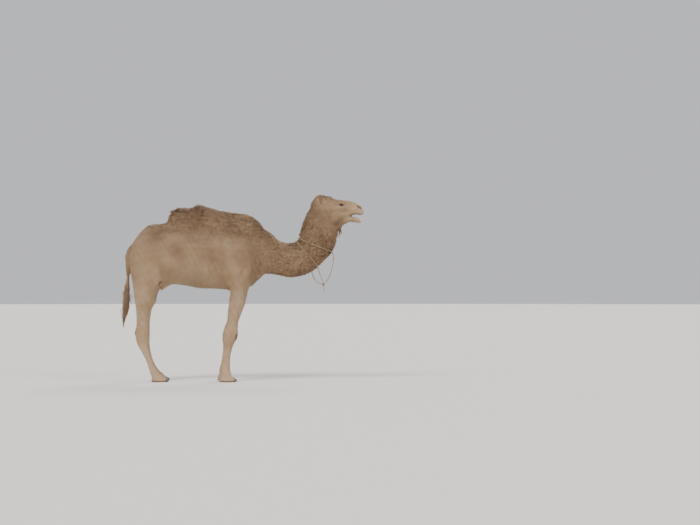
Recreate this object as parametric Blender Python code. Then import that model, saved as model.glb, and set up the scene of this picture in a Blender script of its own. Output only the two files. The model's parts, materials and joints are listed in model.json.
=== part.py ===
"""A dromedary camel standing still, life size, as a museum model.

Metres, +Z up. The camel faces +X and its left side is +Y. The origin lies on the floor under the
middle of its length. The flesh is modelled whole, out to the tips of the coat, from sections swept
along the trunk, neck, head, jaw and legs. It is fused into one skin, and then parted by thin cuts
into the parts that a person would name. Eyes, ears, nails, tail and neck cord are pieces of their
own, fitted to the flesh with the same gap.
"""

import math

import bmesh
import bpy
from mathutils import Matrix, Vector
from mathutils.bvhtree import BVHTree

# Fit and fineness.
GAP = 0.0004  # clearance between parts that meet
ON_PLANE = 1e-6  # a point this near a cut lies on it
RING_POINTS = 28  # points round each swept section
STEPS_BETWEEN = 4  # sections added between two rows of a table
SKIN_VOXEL = 0.011  # cell size of the fused skin
SOFTENING = 0.5  # how far one pass moves a point towards its neighbours' middle
SOFTENING_PASSES = 8
SKIN_TRIANGLES = 3300  # of the fused skin, before it is parted
HEAD_SHARE = 0.004  # how strongly the head keeps its faces when the skin is thinned
HEAD_WEIGHT = 0.5  # of its points there, against 1 elsewhere
FINE_BELOW = 0.45  # under this height, and ahead of the next place, the skin is softened less
FINE_AHEAD = 0.90
FINE_SOFTENING = 0.35
SHARP_ANGLE = math.radians(50)
ROUTE_STEPS = 24  # points read between two of a cord's route before they are spaced evenly
MASS_FACETS = (24, 16)  # segments and rings of a ball that is fused into the flesh
EYE_FACETS = (14, 8)
SMALL_FACETS = (7, 5)
SIDES = (("left", 1), ("right", -1))

# Trunk: x, top, bottom, half width, top power, bottom power. A power over 1 makes that half pointed.
TRUNK = [
    (-1.262, 1.480, 1.310, 0.050, 1.0, 1.0),
    (-1.240, 1.534, 1.215, 0.095, 1.1, 1.0),
    (-1.200, 1.612, 1.142, 0.145, 1.2, 1.0),
    (-1.130, 1.696, 1.095, 0.185, 1.3, 0.95),
    (-1.040, 1.756, 1.076, 0.215, 1.3, 0.9),
    (-0.930, 1.766, 1.082, 0.232, 1.25, 0.85),
    (-0.795, 1.780, 1.084, 0.276, 1.2, 0.8),
    (-0.650, 1.805, 1.066, 0.300, 1.2, 0.8),
    (-0.482, 1.835, 1.034, 0.306, 1.2, 0.8),
    (-0.314, 1.860, 1.030, 0.288, 1.25, 0.82),
    (-0.168, 1.882, 1.014, 0.254, 1.3, 0.85),
    (-0.034, 1.882, 1.004, 0.220, 1.3, 0.9),
    (0.070, 1.866, 1.034, 0.196, 1.25, 0.95),
    (0.157, 1.814, 1.112, 0.174, 1.15, 1.0),
    (0.224, 1.734, 1.176, 0.150, 1.0, 1.0),
    (0.285, 1.610, 1.250, 0.100, 1.0, 1.0),
]

# Hump: x, top, bottom, half width, top power. A low ridge with a steep back and a long front slope.
HUMP = [
    (-0.838, 1.800, 1.660, 0.060, 1.0),
    (-0.806, 1.886, 1.600, 0.120, 1.1),
    (-0.752, 1.936, 1.560, 0.155, 1.2),
    (-0.670, 1.948, 1.530, 0.180, 1.25),
    (-0.570, 1.946, 1.520, 0.195, 1.3),
    (-0.480, 1.982, 1.520, 0.195, 1.35),
    (-0.400, 1.958, 1.540, 0.190, 1.3),
    (-0.300, 1.926, 1.580, 0.175, 1.25),
    (-0.180, 1.898, 1.640, 0.150, 1.2),
    (-0.060, 1.886, 1.720, 0.100, 1.1),
]

# Neck: centre x, centre z, half depth, half width. It leaves the chest level and turns up to the poll.
NECK = [
    (0.078, 1.450, 0.315, 0.170),
    (0.205, 1.436, 0.262, 0.155),
    (0.325, 1.396, 0.206, 0.136),
    (0.431, 1.370, 0.190, 0.122),
    (0.546, 1.356, 0.197, 0.115),
    (0.655, 1.382, 0.194, 0.112),
    (0.752, 1.455, 0.192, 0.110),
    (0.822, 1.552, 0.206, 0.110),
    (0.852, 1.655, 0.213, 0.107),
    (0.873, 1.762, 0.203, 0.102),
    (0.886, 1.868, 0.172, 0.095),
    (0.898, 1.952, 0.140, 0.082),
]

# Skull and muzzle, carried level: x, top, bottom, half width, top power, bottom power.
SKULL = [
    (0.762, 2.004, 1.880, 0.040, 1.0, 1.0),
    (0.800, 2.056, 1.810, 0.066, 1.0, 1.0),
    (0.850, 2.082, 1.755, 0.080, 1.0, 1.0),
    (0.910, 2.087, 1.724, 0.086, 1.0, 1.0),
    (0.960, 2.074, 1.708, 0.088, 1.0, 1.0),
    (1.020, 2.046, 1.708, 0.088, 0.95, 1.0),
    (1.082, 2.030, 1.742, 0.083, 0.85, 1.0),
    (1.138, 2.024, 1.790, 0.069, 0.8, 0.95),
    (1.187, 2.016, 1.832, 0.059, 0.8, 0.9),
    (1.232, 2.004, 1.857, 0.054, 0.8, 0.85),
    (1.277, 1.987, 1.863, 0.052, 0.8, 0.8),
    (1.312, 1.962, 1.857, 0.047, 0.85, 0.8),
    (1.336, 1.934, 1.861, 0.036, 0.9, 0.9),
    (1.350, 1.905, 1.872, 0.016, 1.0, 1.0),
]

# Lower jaw and hanging lip: x, top, bottom, half width.
JAW = [
    (0.986, 1.880, 1.704, 0.060),
    (1.050, 1.868, 1.672, 0.066),
    (1.106, 1.858, 1.716, 0.060),
    (1.154, 1.852, 1.758, 0.051),
    (1.198, 1.847, 1.781, 0.045),
    (1.243, 1.838, 1.781, 0.041),
    (1.278, 1.828, 1.773, 0.036),
    (1.304, 1.808, 1.768, 0.026),
    (1.321, 1.790, 1.773, 0.011),
]
# Lower front teeth: how many, the middle and radius of their arc, how far it turns, and radii of one.
TOOTH_COUNT = 6
TOOTH_FACETS = (6, 4)
TOOTH_ARC = (1.252, 0.0, 1.829)
TOOTH_ARC_RADIUS = 0.030
TOOTH_SPREAD = math.radians(150)
TOOTH_RADII = (0.0045, 0.0066, 0.0125)

# Fore leg: centre x, z, half depth, half width, distance from the midline.
FORE_LEG = [
    (-0.011, 1.333, 0.140, 0.060, 0.130),
    (-0.016, 1.187, 0.132, 0.074, 0.150),
    (-0.032, 1.064, 0.108, 0.074, 0.158),
    (-0.044, 0.978, 0.098, 0.069, 0.158),
    (-0.064, 0.882, 0.092, 0.062, 0.156),
    (-0.093, 0.767, 0.080, 0.055, 0.152),
    (-0.116, 0.664, 0.068, 0.050, 0.148),
    (-0.134, 0.585, 0.075, 0.054, 0.145),
    (-0.146, 0.515, 0.080, 0.059, 0.143),
    (-0.160, 0.447, 0.064, 0.054, 0.142),
    (-0.170, 0.379, 0.047, 0.043, 0.143),
    (-0.183, 0.298, 0.038, 0.036, 0.145),
    (-0.193, 0.206, 0.041, 0.036, 0.148),
    (-0.200, 0.138, 0.050, 0.045, 0.150),
    (-0.198, 0.085, 0.058, 0.056, 0.151),
    (-0.192, 0.040, 0.062, 0.060, 0.151),
]
FORE_STAGGER = 0.022  # the left fore leg stands this far back and the right one this far forward

# Hind leg, in the same columns.
HIND_LEG = [
    (-1.045, 1.590, 0.130, 0.070, 0.105),
    (-1.064, 1.411, 0.180, 0.092, 0.125),
    (-1.074, 1.266, 0.176, 0.100, 0.132),
    (-1.078, 1.142, 0.160, 0.096, 0.136),
    (-1.082, 1.030, 0.142, 0.086, 0.138),
    (-1.092, 0.920, 0.121, 0.075, 0.138),
    (-1.112, 0.822, 0.091, 0.064, 0.136),
    (-1.118, 0.712, 0.081, 0.056, 0.134),
    (-1.124, 0.603, 0.080, 0.052, 0.132),
    (-1.128, 0.525, 0.086, 0.052, 0.130),
    (-1.122, 0.450, 0.078, 0.051, 0.130),
    (-1.102, 0.386, 0.060, 0.047, 0.132),
    (-1.079, 0.322, 0.047, 0.040, 0.136),
    (-1.050, 0.246, 0.037, 0.035, 0.141),
    (-1.020, 0.170, 0.038, 0.035, 0.146),
    (-0.988, 0.106, 0.046, 0.044, 0.149),
    (-0.962, 0.062, 0.054, 0.052, 0.150),
    (-0.950, 0.035, 0.058, 0.056, 0.150),
]
HIND_STAGGER = 0.004
STAGGER_FULL_Z = 0.25  # height under which a leg has its whole stagger

# Feet: centre x, distance from the midline, half length, half width.
FORE_FOOT = (-0.180, 0.152, 0.096, 0.088)
HIND_FOOT = (-0.925, 0.150, 0.093, 0.078)
# Foot heights, with the share of the sole's size there and how far that level sits back of the sole.
# The lowest is under the floor, where the flesh is cut off flat.
FOOT_LEVELS = [
    (-0.014, 0.93, 0.000),
    (0.006, 0.99, 0.000),
    (0.022, 1.00, 0.001),
    (0.038, 0.91, 0.007),
    (0.054, 0.76, 0.014),
    (0.072, 0.62, 0.020),
    (0.094, 0.48, 0.026),
]
TOE_NOTCH = 0.16  # depth of the cleft between the two toes, as a share of the foot
TOE_NOTCH_WIDTH = 0.17  # radians

# Nails: a blunt plate over the end of each toe.
NAIL_RADII = (0.021, 0.014, 0.013)
NAIL_HEIGHT = 0.025
NAIL_ANGLE = 0.36  # radians to each side of the cleft
NAIL_REACH = 0.91  # distance of a nail's centre from the foot's, as a share of the foot

# Rounded masses that the sections don't give: centre, radii. Each is made on both sides.
MASSES = {
    "brow": ((1.082, 0.066, 1.990), (0.058, 0.030, 0.032)),
    "cheek": ((1.015, 0.056, 1.830), (0.095, 0.040, 0.085)),
    "nostril": ((1.292, 0.032, 1.950), (0.034, 0.020, 0.024)),
    "shoulder": ((0.010, 0.150, 1.400), (0.165, 0.075, 0.280)),
    "hip": ((-0.990, 0.132, 1.595), (0.140, 0.070, 0.105)),
    "stifle": ((-0.985, 0.150, 1.110), (0.090, 0.070, 0.110)),
}
BEARD = ((1.072, 0.0, 1.700), (0.040, 0.030, 0.062))
CHEST_PAD = ((-0.075, 0.0, 1.045), (0.115, 0.085, 0.045))
SHEATH = [  # x, top, bottom, half width
    (-0.800, 1.130, 1.075, 0.020),
    (-0.845, 1.140, 1.052, 0.036),
    (-0.885, 1.140, 1.024, 0.038),
    (-0.912, 1.110, 1.009, 0.028),
    (-0.926, 1.050, 1.012, 0.010),
]

# Eyes sit under the brow, in sockets cut from the head.
EYE_CENTRE = (1.094, 0.0755, 1.9655)
EYE_RADIUS = 0.0215

# Ears: small, cupped and upright, behind the crown.
EAR_BASE = (0.882, 0.058, 1.990)
EAR_LENGTH = 0.104
EAR_HALF_WIDTH = 0.027
EAR_WIDEST = 0.48  # share of the length at which an ear is widest
EAR_WALL = 0.007
EAR_TIP_WALL = 0.55  # share of the wall's thickness that is left at the tip
EAR_RIM_WALL = 0.4  # and at its rim
EAR_ROOT_WIDTH = 0.55  # share of the width at the root
EAR_TIP_WIDTH = 0.17  # and at the tip
EAR_SET_BACK = 0.35  # of the half width, from the ear's axis to the back of its wall
EAR_CURL = math.radians(68)  # half of the arc that an ear's wall makes round its own axis
EAR_LEAN_BACK = math.radians(16)
EAR_LEAN_OUT = math.radians(36)
EAR_TURN_OUT = math.radians(35)  # how far the open side looks outwards from straight ahead
EAR_RINGS = 7
EAR_POINTS = 5  # across the wall, on each of its faces

# Tail: the dock and then the tuft of long hair: x, z, half depth, half width.
TAIL = [
    (-1.200, 1.520, 0.048, 0.048),
    (-1.250, 1.484, 0.043, 0.042),
    (-1.281, 1.425, 0.036, 0.036),
    (-1.291, 1.335, 0.028, 0.030),
    (-1.288, 1.235, 0.023, 0.025),
    (-1.286, 1.150, 0.019, 0.020),
    (-1.292, 1.090, 0.026, 0.022),
    (-1.300, 1.030, 0.040, 0.028),
    (-1.306, 0.960, 0.048, 0.032),
    (-1.302, 0.890, 0.047, 0.032),
    (-1.303, 0.825, 0.044, 0.029),
    (-1.313, 0.760, 0.034, 0.025),
    (-1.327, 0.700, 0.025, 0.020),
    (-1.334, 0.650, 0.015, 0.014),
    (-1.342, 0.606, 0.006, 0.006),
]
TAIL_POINTS = 9
TAIL_STEPS = 2
TAIL_CUT_Z = 1.120  # the tuft's root

# Neck cord: wound twice round the neck, tied below it, with a short end hanging from the knot.
# Each route runs from the top of the neck down one side, leaves the throat and hangs to the knot.
CORD_RADIUS = 0.0045
CORD_SPACING = 0.040  # between a strand's points; half of it on the short end
KNOT = (0.900, 0.0, 1.082)
KNOT_RADII = (0.017, 0.014, 0.017)
CORD_CLEARANCE = 0.0110  # from a strand's middle to the flesh, so that its straight runs clear it
CORD_ROUTES = {
    "front_left": [
        (0.615, 0.0016, 1.602),
        (0.619, 0.022, 1.600),
        (0.640, 0.052, 1.589),
        (0.680, 0.084, 1.570),
        (0.740, 0.108, 1.545),
        (0.800, 0.114, 1.520),
        (0.860, 0.113, 1.497),
        (0.920, 0.098, 1.474),
        (0.965, 0.072, 1.458),
        (0.996, 0.045, 1.444),
        (1.013, 0.030, 1.410),
        (1.011, 0.025, 1.345),
        (0.998, 0.021, 1.265),
        (0.974, 0.016, 1.187),
        (0.940, 0.010, 1.123),
        (0.9135, 0.0062, 1.0965),
    ],
    "rear_left": [
        (0.590, 0.0016, 1.578),
        (0.591, 0.022, 1.574),
        (0.597, 0.053, 1.553),
        (0.610, 0.086, 1.515),
        (0.640, 0.112, 1.455),
        (0.680, 0.118, 1.390),
        (0.711, 0.111, 1.339),
        (0.741, 0.095, 1.294),
        (0.760, 0.074, 1.250),
        (0.773, 0.055, 1.205),
        (0.790, 0.040, 1.162),
        (0.820, 0.022, 1.118),
        (0.852, 0.010, 1.095),
        (0.8795, 0.004, 1.0885),
    ],
}
CORD_ROUTES["front_right"] = [(x, -y, z) for x, y, z in CORD_ROUTES["front_left"]]
CORD_ROUTES["rear_right"] = [
    (0.590, -0.0016, 1.578),
    (0.593, -0.022, 1.574),
    (0.606, -0.053, 1.554),
    (0.640, -0.094, 1.508),
    (0.689, -0.115, 1.456),
    (0.730, -0.116, 1.410),
    (0.771, -0.107, 1.365),
    (0.804, -0.088, 1.328),
    (0.832, -0.062, 1.290),
    (0.847, -0.044, 1.250),
    (0.860, -0.031, 1.205),
    (0.878, -0.016, 1.155),
    (0.896, -0.004, 1.1020),
]
END_ROUTE = [(0.900, 0.0, 1.0640), (0.903, 0.0, 1.050), (0.908, 0.0, 1.030), (0.909, 0.0, 1.008)]

# Cuts that part the flesh: a point on the plane and its normal, along which the next part lies.
NECK_BASE_CUT = ((0.205, 0, 1.420), (0.990, 0, -0.139))
NECK_LOW_CUT = ((0.500, 0, 1.360), (1.0, 0, 0.0))
NECK_HIGH_CUT = ((0.790, 0, 1.505), (0.60, 0, 0.80))
HEAD_CUT = ((0.900, 0, 1.830), (0.68, 0, 0.733))
JAW_CUT = ((1.243, 0, 1.8515), (-0.050, 0, -0.99875))
# Blocks that take the hump and the upper legs out of the trunk: range of x below and above, range of
# y, range of z at the first corner, and how the slanting face rises with x and with y.
HUMP_BLOCK = ((-0.860, -0.050), (-0.860, -0.050), (-0.400, 0.400), (1.758, 2.200), (0.125, 0.0))
FORE_BLOCK = ((-0.420, 0.200), (-0.160, 0.090), (0.058, 0.400), (-0.100, 1.035), (0.0, 0.75))
HIND_BLOCK = ((-1.400, -0.780), (-1.400, -0.860), (0.045, 0.400), (-0.100, 1.205), (-0.300, 1.0))
LEG_CUTS = {"fore": (0.520, 0.118), "hind": (0.478, 0.098)}  # heights of the knee or hock and fetlock

FUR = (0.42, 0.27, 0.15, 1.0)
WOOL = (0.28, 0.17, 0.09, 1.0)
HORN = (0.10, 0.08, 0.07, 1.0)
EYE = (0.03, 0.015, 0.01, 1.0)
CORD = (0.55, 0.43, 0.26, 1.0)


def clear_scene():
    for obj in list(bpy.data.objects):
        bpy.data.objects.remove(obj)


def finish_material(name, colour, roughness):
    """A plain principled finish."""
    material = bpy.data.materials.new(name)
    material.use_nodes = True
    shader = material.node_tree.nodes["Principled BSDF"]
    shader.inputs["Base Color"].default_value = colour
    shader.inputs["Roughness"].default_value = roughness
    return material


def new_object(name, data, material=None):
    obj = bpy.data.objects.new(name, data)
    bpy.context.scene.collection.objects.link(obj)
    if material:
        data.materials.clear()
        data.materials.append(material)
    if obj.type == "MESH":
        data.shade_smooth()
        data.set_sharp_from_angle(angle=SHARP_ANGLE)
    return obj


def smooth_rows(rows, steps=STEPS_BETWEEN):
    """The rows of a table with others eased in between, on a Catmull-Rom curve in every column."""
    eased = []
    last = len(rows) - 1
    for i in range(last):
        before, start = rows[max(i - 1, 0)], rows[i]
        end, after = rows[i + 1], rows[min(i + 2, last)]
        for k in range(steps):
            t = k / steps
            row = []
            for p, a, b, n in zip(before, start, end, after):
                curve = 2 * a + (b - p) * t + (2 * p - 5 * a + 4 * b - n) * t * t
                curve += (3 * a - 3 * b + n - p) * t**3
                row.append(curve / 2)
            eased.append(tuple(row))
    eased.append(rows[last])
    return eased


def powered(value, power):
    return math.copysign(abs(value) ** power, value)


def section(centre, up, half_depth, half_width, powers=(1.0, 1.0), count=RING_POINTS):
    """A ring round centre: half_depth along up, half_width along Y, each half with its own power."""
    ring = []
    for i in range(count):
        angle = math.tau * i / count
        power = powers[0] if math.sin(angle) > 0 else powers[1]
        side = powered(math.cos(angle), power) * half_width
        ring.append(centre + up * (math.sin(angle) * half_depth) + Vector((0, side, 0)))
    return ring


def skinned(rings):
    """A closed mesh over rings that hold the same number of points."""
    shape = bmesh.new()
    loops = [[shape.verts.new(point) for point in ring] for ring in rings]
    count = len(rings[0])
    for one, two in zip(loops, loops[1:]):
        for i in range(count):
            j = (i + 1) % count
            shape.faces.new((one[i], one[j], two[j], two[i]))
    shape.faces.new(loops[0])
    shape.faces.new(loops[-1])
    bmesh.ops.recalc_face_normals(shape, faces=shape.faces)
    return mesh_of(shape)


def mesh_of(shape):
    """The bmesh as a mesh of its own."""
    mesh = bpy.data.meshes.new("shape")
    shape.to_mesh(mesh)
    shape.free()
    return mesh


def level_sweep(rows):
    """Upright sections in a row along X: x, top, bottom, half width and, if given, the powers."""
    rings = []
    for row in smooth_rows(rows):
        x, top, bottom, half_width = row[:4]
        powers = (*row[4:], 1.0, 1.0)[:2]
        centre = Vector((x, 0, (top + bottom) / 2))
        rings.append(section(centre, Vector((0, 0, 1)), (top - bottom) / 2, half_width, powers))
    return skinned(rings)


def path_sweep(rows, steps=STEPS_BETWEEN, count=RING_POINTS):
    """Sections square to a path in X and Z: x, z, half depth, half width and distance from the midline."""
    eased = smooth_rows(rows, steps)
    rings = []
    for i, (x, z, half_depth, half_width, y) in enumerate(eased):
        before, after = eased[max(i - 1, 0)], eased[min(i + 1, len(eased) - 1)]
        along = Vector((after[0] - before[0], 0, after[1] - before[1])).normalized()
        up = Vector((-along.z, 0, along.x))
        rings.append(section(Vector((x, y, z)), up, half_depth, half_width, count=count))
    return skinned(rings)


def ellipsoid(centre, radii, facets=MASS_FACETS):
    """A ball scaled to three radii."""
    shape = bmesh.new()
    bmesh.ops.create_uvsphere(shape, u_segments=facets[0], v_segments=facets[1], radius=1.0)
    bmesh.ops.transform(shape, matrix=Matrix.Diagonal((*radii, 1)), verts=shape.verts)
    bmesh.ops.translate(shape, vec=centre, verts=shape.verts)
    return mesh_of(shape)


def foot(x, y, half_length, half_width):
    """A broad soft pad with two toes, flat below: an oval with a notch in front, swept upwards."""
    rings = []
    for height, share, back in FOOT_LEVELS:
        ring = []
        for i in range(2 * RING_POINTS):
            angle = math.tau * i / (2 * RING_POINTS)
            from_front = math.remainder(angle, math.tau)
            notch = 1 - TOE_NOTCH * math.exp(-((from_front / TOE_NOTCH_WIDTH) ** 2))
            reach = share * notch
            dx = math.cos(angle) * half_length * reach - back
            dy = math.sin(angle) * half_width * reach
            ring.append(Vector((x + dx, y + dy, height)))
        rings.append(ring)
    return skinned(rings)


def leg_rows(rows, sign, stagger):
    """A leg's table on one side, with the stagger fading in from the elbow or stifle down."""
    top = rows[2][1]
    shifted = []
    for x, z, half_depth, half_width, y in rows:
        share = min(max((top - z) / (top - STAGGER_FULL_Z), 0), 1)
        shifted.append((x - sign * stagger * share, z, half_depth, half_width, sign * y))
    return shifted


def flesh_pieces():
    """Every swept or rounded form that the flesh is fused from."""
    meshes = [level_sweep(rows) for rows in (TRUNK, HUMP, SKULL, JAW, SHEATH)]
    meshes.append(path_sweep([(*row, 0.0) for row in NECK]))
    meshes += [ellipsoid(*CHEST_PAD), ellipsoid(*BEARD)]
    for _, sign in SIDES:
        for centre, radii in MASSES.values():
            meshes.append(ellipsoid((centre[0], sign * centre[1], centre[2]), radii))
        for rows, stagger, (x, y, length, width) in (
            (FORE_LEG, FORE_STAGGER, FORE_FOOT),
            (HIND_LEG, HIND_STAGGER, HIND_FOOT),
        ):
            meshes.append(path_sweep(leg_rows(rows, sign, stagger)))
            meshes.append(foot(x - sign * stagger, sign * y, length, width))
    return meshes


def joined(meshes):
    """One mesh that holds all of these."""
    shape = bmesh.new()
    for mesh in meshes:
        shape.from_mesh(mesh)
    return mesh_of(shape)


def applied(obj):
    """The object's mesh with its modifiers in it. The object is removed."""
    bpy.context.view_layer.update()
    graph = bpy.context.evaluated_depsgraph_get()
    mesh = bpy.data.meshes.new_from_object(obj.evaluated_get(graph))
    bpy.data.objects.remove(obj)
    return mesh


def fused_flesh():
    """The whole animal as one closed skin, fine on the head and coarser elsewhere."""
    obj = new_object("fusing", joined(flesh_pieces()))
    remesh = obj.modifiers.new("fuse", "REMESH")
    remesh.mode = "VOXEL"
    remesh.voxel_size = SKIN_VOXEL
    obj = new_object("softening", applied(obj))
    weights = obj.vertex_groups.new(name="soft")
    for vert in obj.data.vertices:
        is_fine = vert.co.z < FINE_BELOW or vert.co.x > FINE_AHEAD
        weights.add([vert.index], FINE_SOFTENING if is_fine else 1.0, "REPLACE")
    smooth = obj.modifiers.new("soften", "SMOOTH")
    smooth.factor = SOFTENING
    smooth.iterations = SOFTENING_PASSES
    smooth.vertex_group = "soft"
    obj = new_object("thinning", applied(obj))
    weights = obj.vertex_groups.new(name="keep")
    point, normal = Vector(HEAD_CUT[0]), Vector(HEAD_CUT[1])
    for vert in obj.data.vertices:
        is_head = (vert.co - point).dot(normal) > 0
        weights.add([vert.index], HEAD_WEIGHT if is_head else 1.0, "REPLACE")
    thin = obj.modifiers.new("thin", "DECIMATE")
    thin.ratio = SKIN_TRIANGLES / (2 * len(obj.data.polygons))
    thin.vertex_group = "keep"
    thin.vertex_group_factor = HEAD_SHARE
    return applied(obj)


def half_of(mesh, point, normal, ahead):
    """What is ahead of or behind a plane, half the gap clear of it, with the cut closed."""
    normal = Vector(normal).normalized()
    clear = GAP / 2 if ahead else -GAP / 2
    shape = bmesh.new()
    shape.from_mesh(mesh)
    bmesh.ops.bisect_plane(
        shape,
        geom=shape.verts[:] + shape.edges[:] + shape.faces[:],
        dist=ON_PLANE,
        plane_co=Vector(point) + normal * clear,
        plane_no=normal,
        clear_inner=ahead,
        clear_outer=not ahead,
    )
    rim = [edge for edge in shape.edges if edge.is_boundary]
    bmesh.ops.holes_fill(shape, edges=rim, sides=0)
    bmesh.ops.recalc_face_normals(shape, faces=shape.faces)
    return mesh_of(shape)


def parted(mesh, cut):
    """What is behind a cut plane and what is ahead of it."""
    return half_of(mesh, *cut, False), half_of(mesh, *cut, True)


def with_boolean(mesh, tool_mesh, operation):
    """The mesh cut by another, or what both hold."""
    obj = bpy.data.objects.new("cutting", mesh)
    tool = bpy.data.objects.new("cutter", tool_mesh)
    for each in (obj, tool):
        bpy.context.scene.collection.objects.link(each)
    tool.hide_render = True
    tool.display_type = "WIRE"
    cut = obj.modifiers.new("cut", "BOOLEAN")
    cut.operation = operation
    cut.object = tool
    cut.solver = "EXACT"
    result = applied(obj)
    bpy.data.objects.remove(tool)
    return result


def block(low_x, high_x, y_range, z_range, slopes, sign=1, grow=0.0):
    """A block whose one slanting face rises with x and y: its top, or its bottom for the hump."""
    slants_below = z_range[0] > 0
    corners = []
    for i, (z, x_range) in enumerate(zip(z_range, (low_x, high_x))):
        is_slanting = (i == 0) == slants_below
        for x in (x_range[0] - grow, x_range[1] + grow):
            for y in (y_range[0] - grow, y_range[1] + grow):
                rise = 0.0
                if is_slanting:
                    rise = slopes[0] * (x - x_range[0]) + slopes[1] * (y - y_range[0])
                corners.append((x, sign * y, z + rise + (grow if i else -grow)))
    shape = bmesh.new()
    points = [shape.verts.new(corner) for corner in corners]
    for face in ((0, 1, 3, 2), (4, 5, 7, 6), (0, 1, 5, 4), (2, 3, 7, 6), (0, 2, 6, 4), (1, 3, 7, 5)):
        shape.faces.new([points[i] for i in face])
    bmesh.ops.recalc_face_normals(shape, faces=shape.faces)
    return mesh_of(shape)


def taken_out(mesh, spec, sign=1):
    """What a block takes out of the mesh, and what it leaves."""
    inside = with_boolean(mesh, block(*spec, sign), "INTERSECT")
    return inside, with_boolean(mesh, block(*spec, sign, GAP), "DIFFERENCE")


def swollen(mesh, distance):
    """A copy of the mesh with every point moved out along its normal."""
    copy = mesh.copy()
    for vert in copy.vertices:
        vert.co = vert.co + vert.normal * distance
    return copy


def part_leg(name, leg, materials):
    """Upper leg, lower leg and foot. The foot's mesh is given back for the nails."""
    middle, low = LEG_CUTS[name.split("_")[0]]
    below, upper = parted(leg, ((0, 0, middle), (0, 0, 1)))
    pad, lower = parted(below, ((0, 0, low), (0, 0, 1)))
    new_object(name + "_upper_leg", upper, materials["short_fur"])
    new_object(name + "_lower_leg", lower, materials["short_fur"])
    new_object(name + "_foot", pad, materials["short_fur"])
    return pad


def part_flesh(flesh, materials):
    """Cuts the flesh into its parts. Gives back those that small pieces are fitted to."""
    flesh = half_of(flesh, (0, 0, -GAP / 2), (0, 0, 1), True)
    hump, flesh = taken_out(flesh, HUMP_BLOCK)
    new_object("hump", hump, materials["wool"])
    feet = {}
    for side, sign in SIDES:
        for pair, spec in (("fore", FORE_BLOCK), ("hind", HIND_BLOCK)):
            leg, flesh = taken_out(flesh, spec, sign)
            name = pair + "_" + side
            feet[name] = part_leg(name, leg, materials)
    trunk, ahead = parted(flesh, NECK_BASE_CUT)
    neck_lower, ahead = parted(ahead, NECK_LOW_CUT)
    neck_middle, ahead = parted(ahead, NECK_HIGH_CUT)
    neck_upper, ahead = parted(ahead, HEAD_CUT)
    head, jaw = parted(ahead, JAW_CUT)
    new_object("trunk", trunk, materials["short_fur"])
    new_object("neck_lower", neck_lower, materials["wool"])
    new_object("neck_middle", neck_middle, materials["wool"])
    new_object("neck_upper", neck_upper, materials["wool"])
    return trunk, head, jaw, feet


def eyes(head, materials):
    """Both eyes, and the head with their sockets cut in it."""
    for side, sign in SIDES:
        centre = (EYE_CENTRE[0], sign * EYE_CENTRE[1], EYE_CENTRE[2])
        socket = ellipsoid(centre, [EYE_RADIUS + GAP] * 3, EYE_FACETS)
        head = with_boolean(head, socket, "DIFFERENCE")
        ball = ellipsoid(centre, [EYE_RADIUS] * 3, EYE_FACETS)
        new_object("eye_" + side, ball, materials["eye"])
    return head


def ear(sign):
    """A cupped leaf: rings of a thin curled wall, widest below the middle and closing at the tip."""
    rings = []
    for i in range(EAR_RINGS):
        along = math.sin(math.pi / 2 * i / (EAR_RINGS - 1))
        from_widest = (along - EAR_WIDEST) / (1 - EAR_WIDEST)
        spread = math.sqrt(max(1 - from_widest**2, EAR_TIP_WIDTH**2))
        if along < EAR_WIDEST:
            spread = 1 - (1 - EAR_ROOT_WIDTH) * ((EAR_WIDEST - along) / EAR_WIDEST) ** 2
        width = EAR_HALF_WIDTH * spread
        radius = width / math.sin(EAR_CURL)
        wall = EAR_WALL * (1 - (1 - EAR_TIP_WALL) * along)
        ring = []
        for face in (1, -1):
            for k in range(EAR_POINTS):
                share = 2 * k / (EAR_POINTS - 1) - 1
                angle = share * EAR_CURL * face
                edge = 1 - (1 - EAR_RIM_WALL) * abs(share) ** 3
                reach = radius + face * wall / 2 * edge
                back = (reach - radius) * math.cos(angle) + radius * (math.cos(angle) - 1)
                side = reach * math.sin(angle)
                ring.append(Vector((-back - EAR_SET_BACK * width, side, along * EAR_LENGTH)))
        rings.append(ring)
    mesh = skinned(rings)
    turn = Matrix.Rotation(sign * EAR_TURN_OUT, 4, "Z")
    lean = Matrix.Rotation(-sign * EAR_LEAN_OUT, 4, "X") @ Matrix.Rotation(-EAR_LEAN_BACK, 4, "Y")
    base = Vector((EAR_BASE[0], sign * EAR_BASE[1], EAR_BASE[2]))
    mesh.transform(Matrix.Translation(base) @ lean @ turn)
    return mesh


def ears(head, materials):
    clear_of = swollen(head, GAP)
    for side, sign in SIDES:
        trimmed = with_boolean(ear(sign), clear_of, "DIFFERENCE")
        new_object("ear_" + side, largest_body(trimmed), materials["short_fur"])


def largest_body(mesh):
    """The mesh without the small loose bodies that a cut can leave."""
    shape = bmesh.new()
    shape.from_mesh(mesh)
    unseen = set(shape.verts)
    bodies = []
    while unseen:
        body, front = set(), [unseen.pop()]
        while front:
            vert = front.pop()
            body.add(vert)
            for edge in vert.link_edges:
                other = edge.other_vert(vert)
                if other in unseen:
                    unseen.remove(other)
                    front.append(other)
        bodies.append(body)
    bodies.sort(key=len)
    loose = [vert for body in bodies[:-1] for vert in body]
    bmesh.ops.delete(shape, geom=loose, context="VERTS")
    return mesh_of(shape)


def teeth(jaw):
    """The jaw with its front teeth joined to it."""
    for i in range(TOOTH_COUNT):
        angle = TOOTH_SPREAD * (i / (TOOTH_COUNT - 1) - 0.5)
        mesh = ellipsoid((0, 0, 0), TOOTH_RADII, TOOTH_FACETS)
        mesh.transform(Matrix.Rotation(angle, 4, "Z"))
        offset = Vector((math.cos(angle), math.sin(angle), 0)) * TOOTH_ARC_RADIUS
        mesh.transform(Matrix.Translation(Vector(TOOTH_ARC) + offset))
        jaw = with_boolean(jaw, mesh, "UNION")
    return jaw


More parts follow.
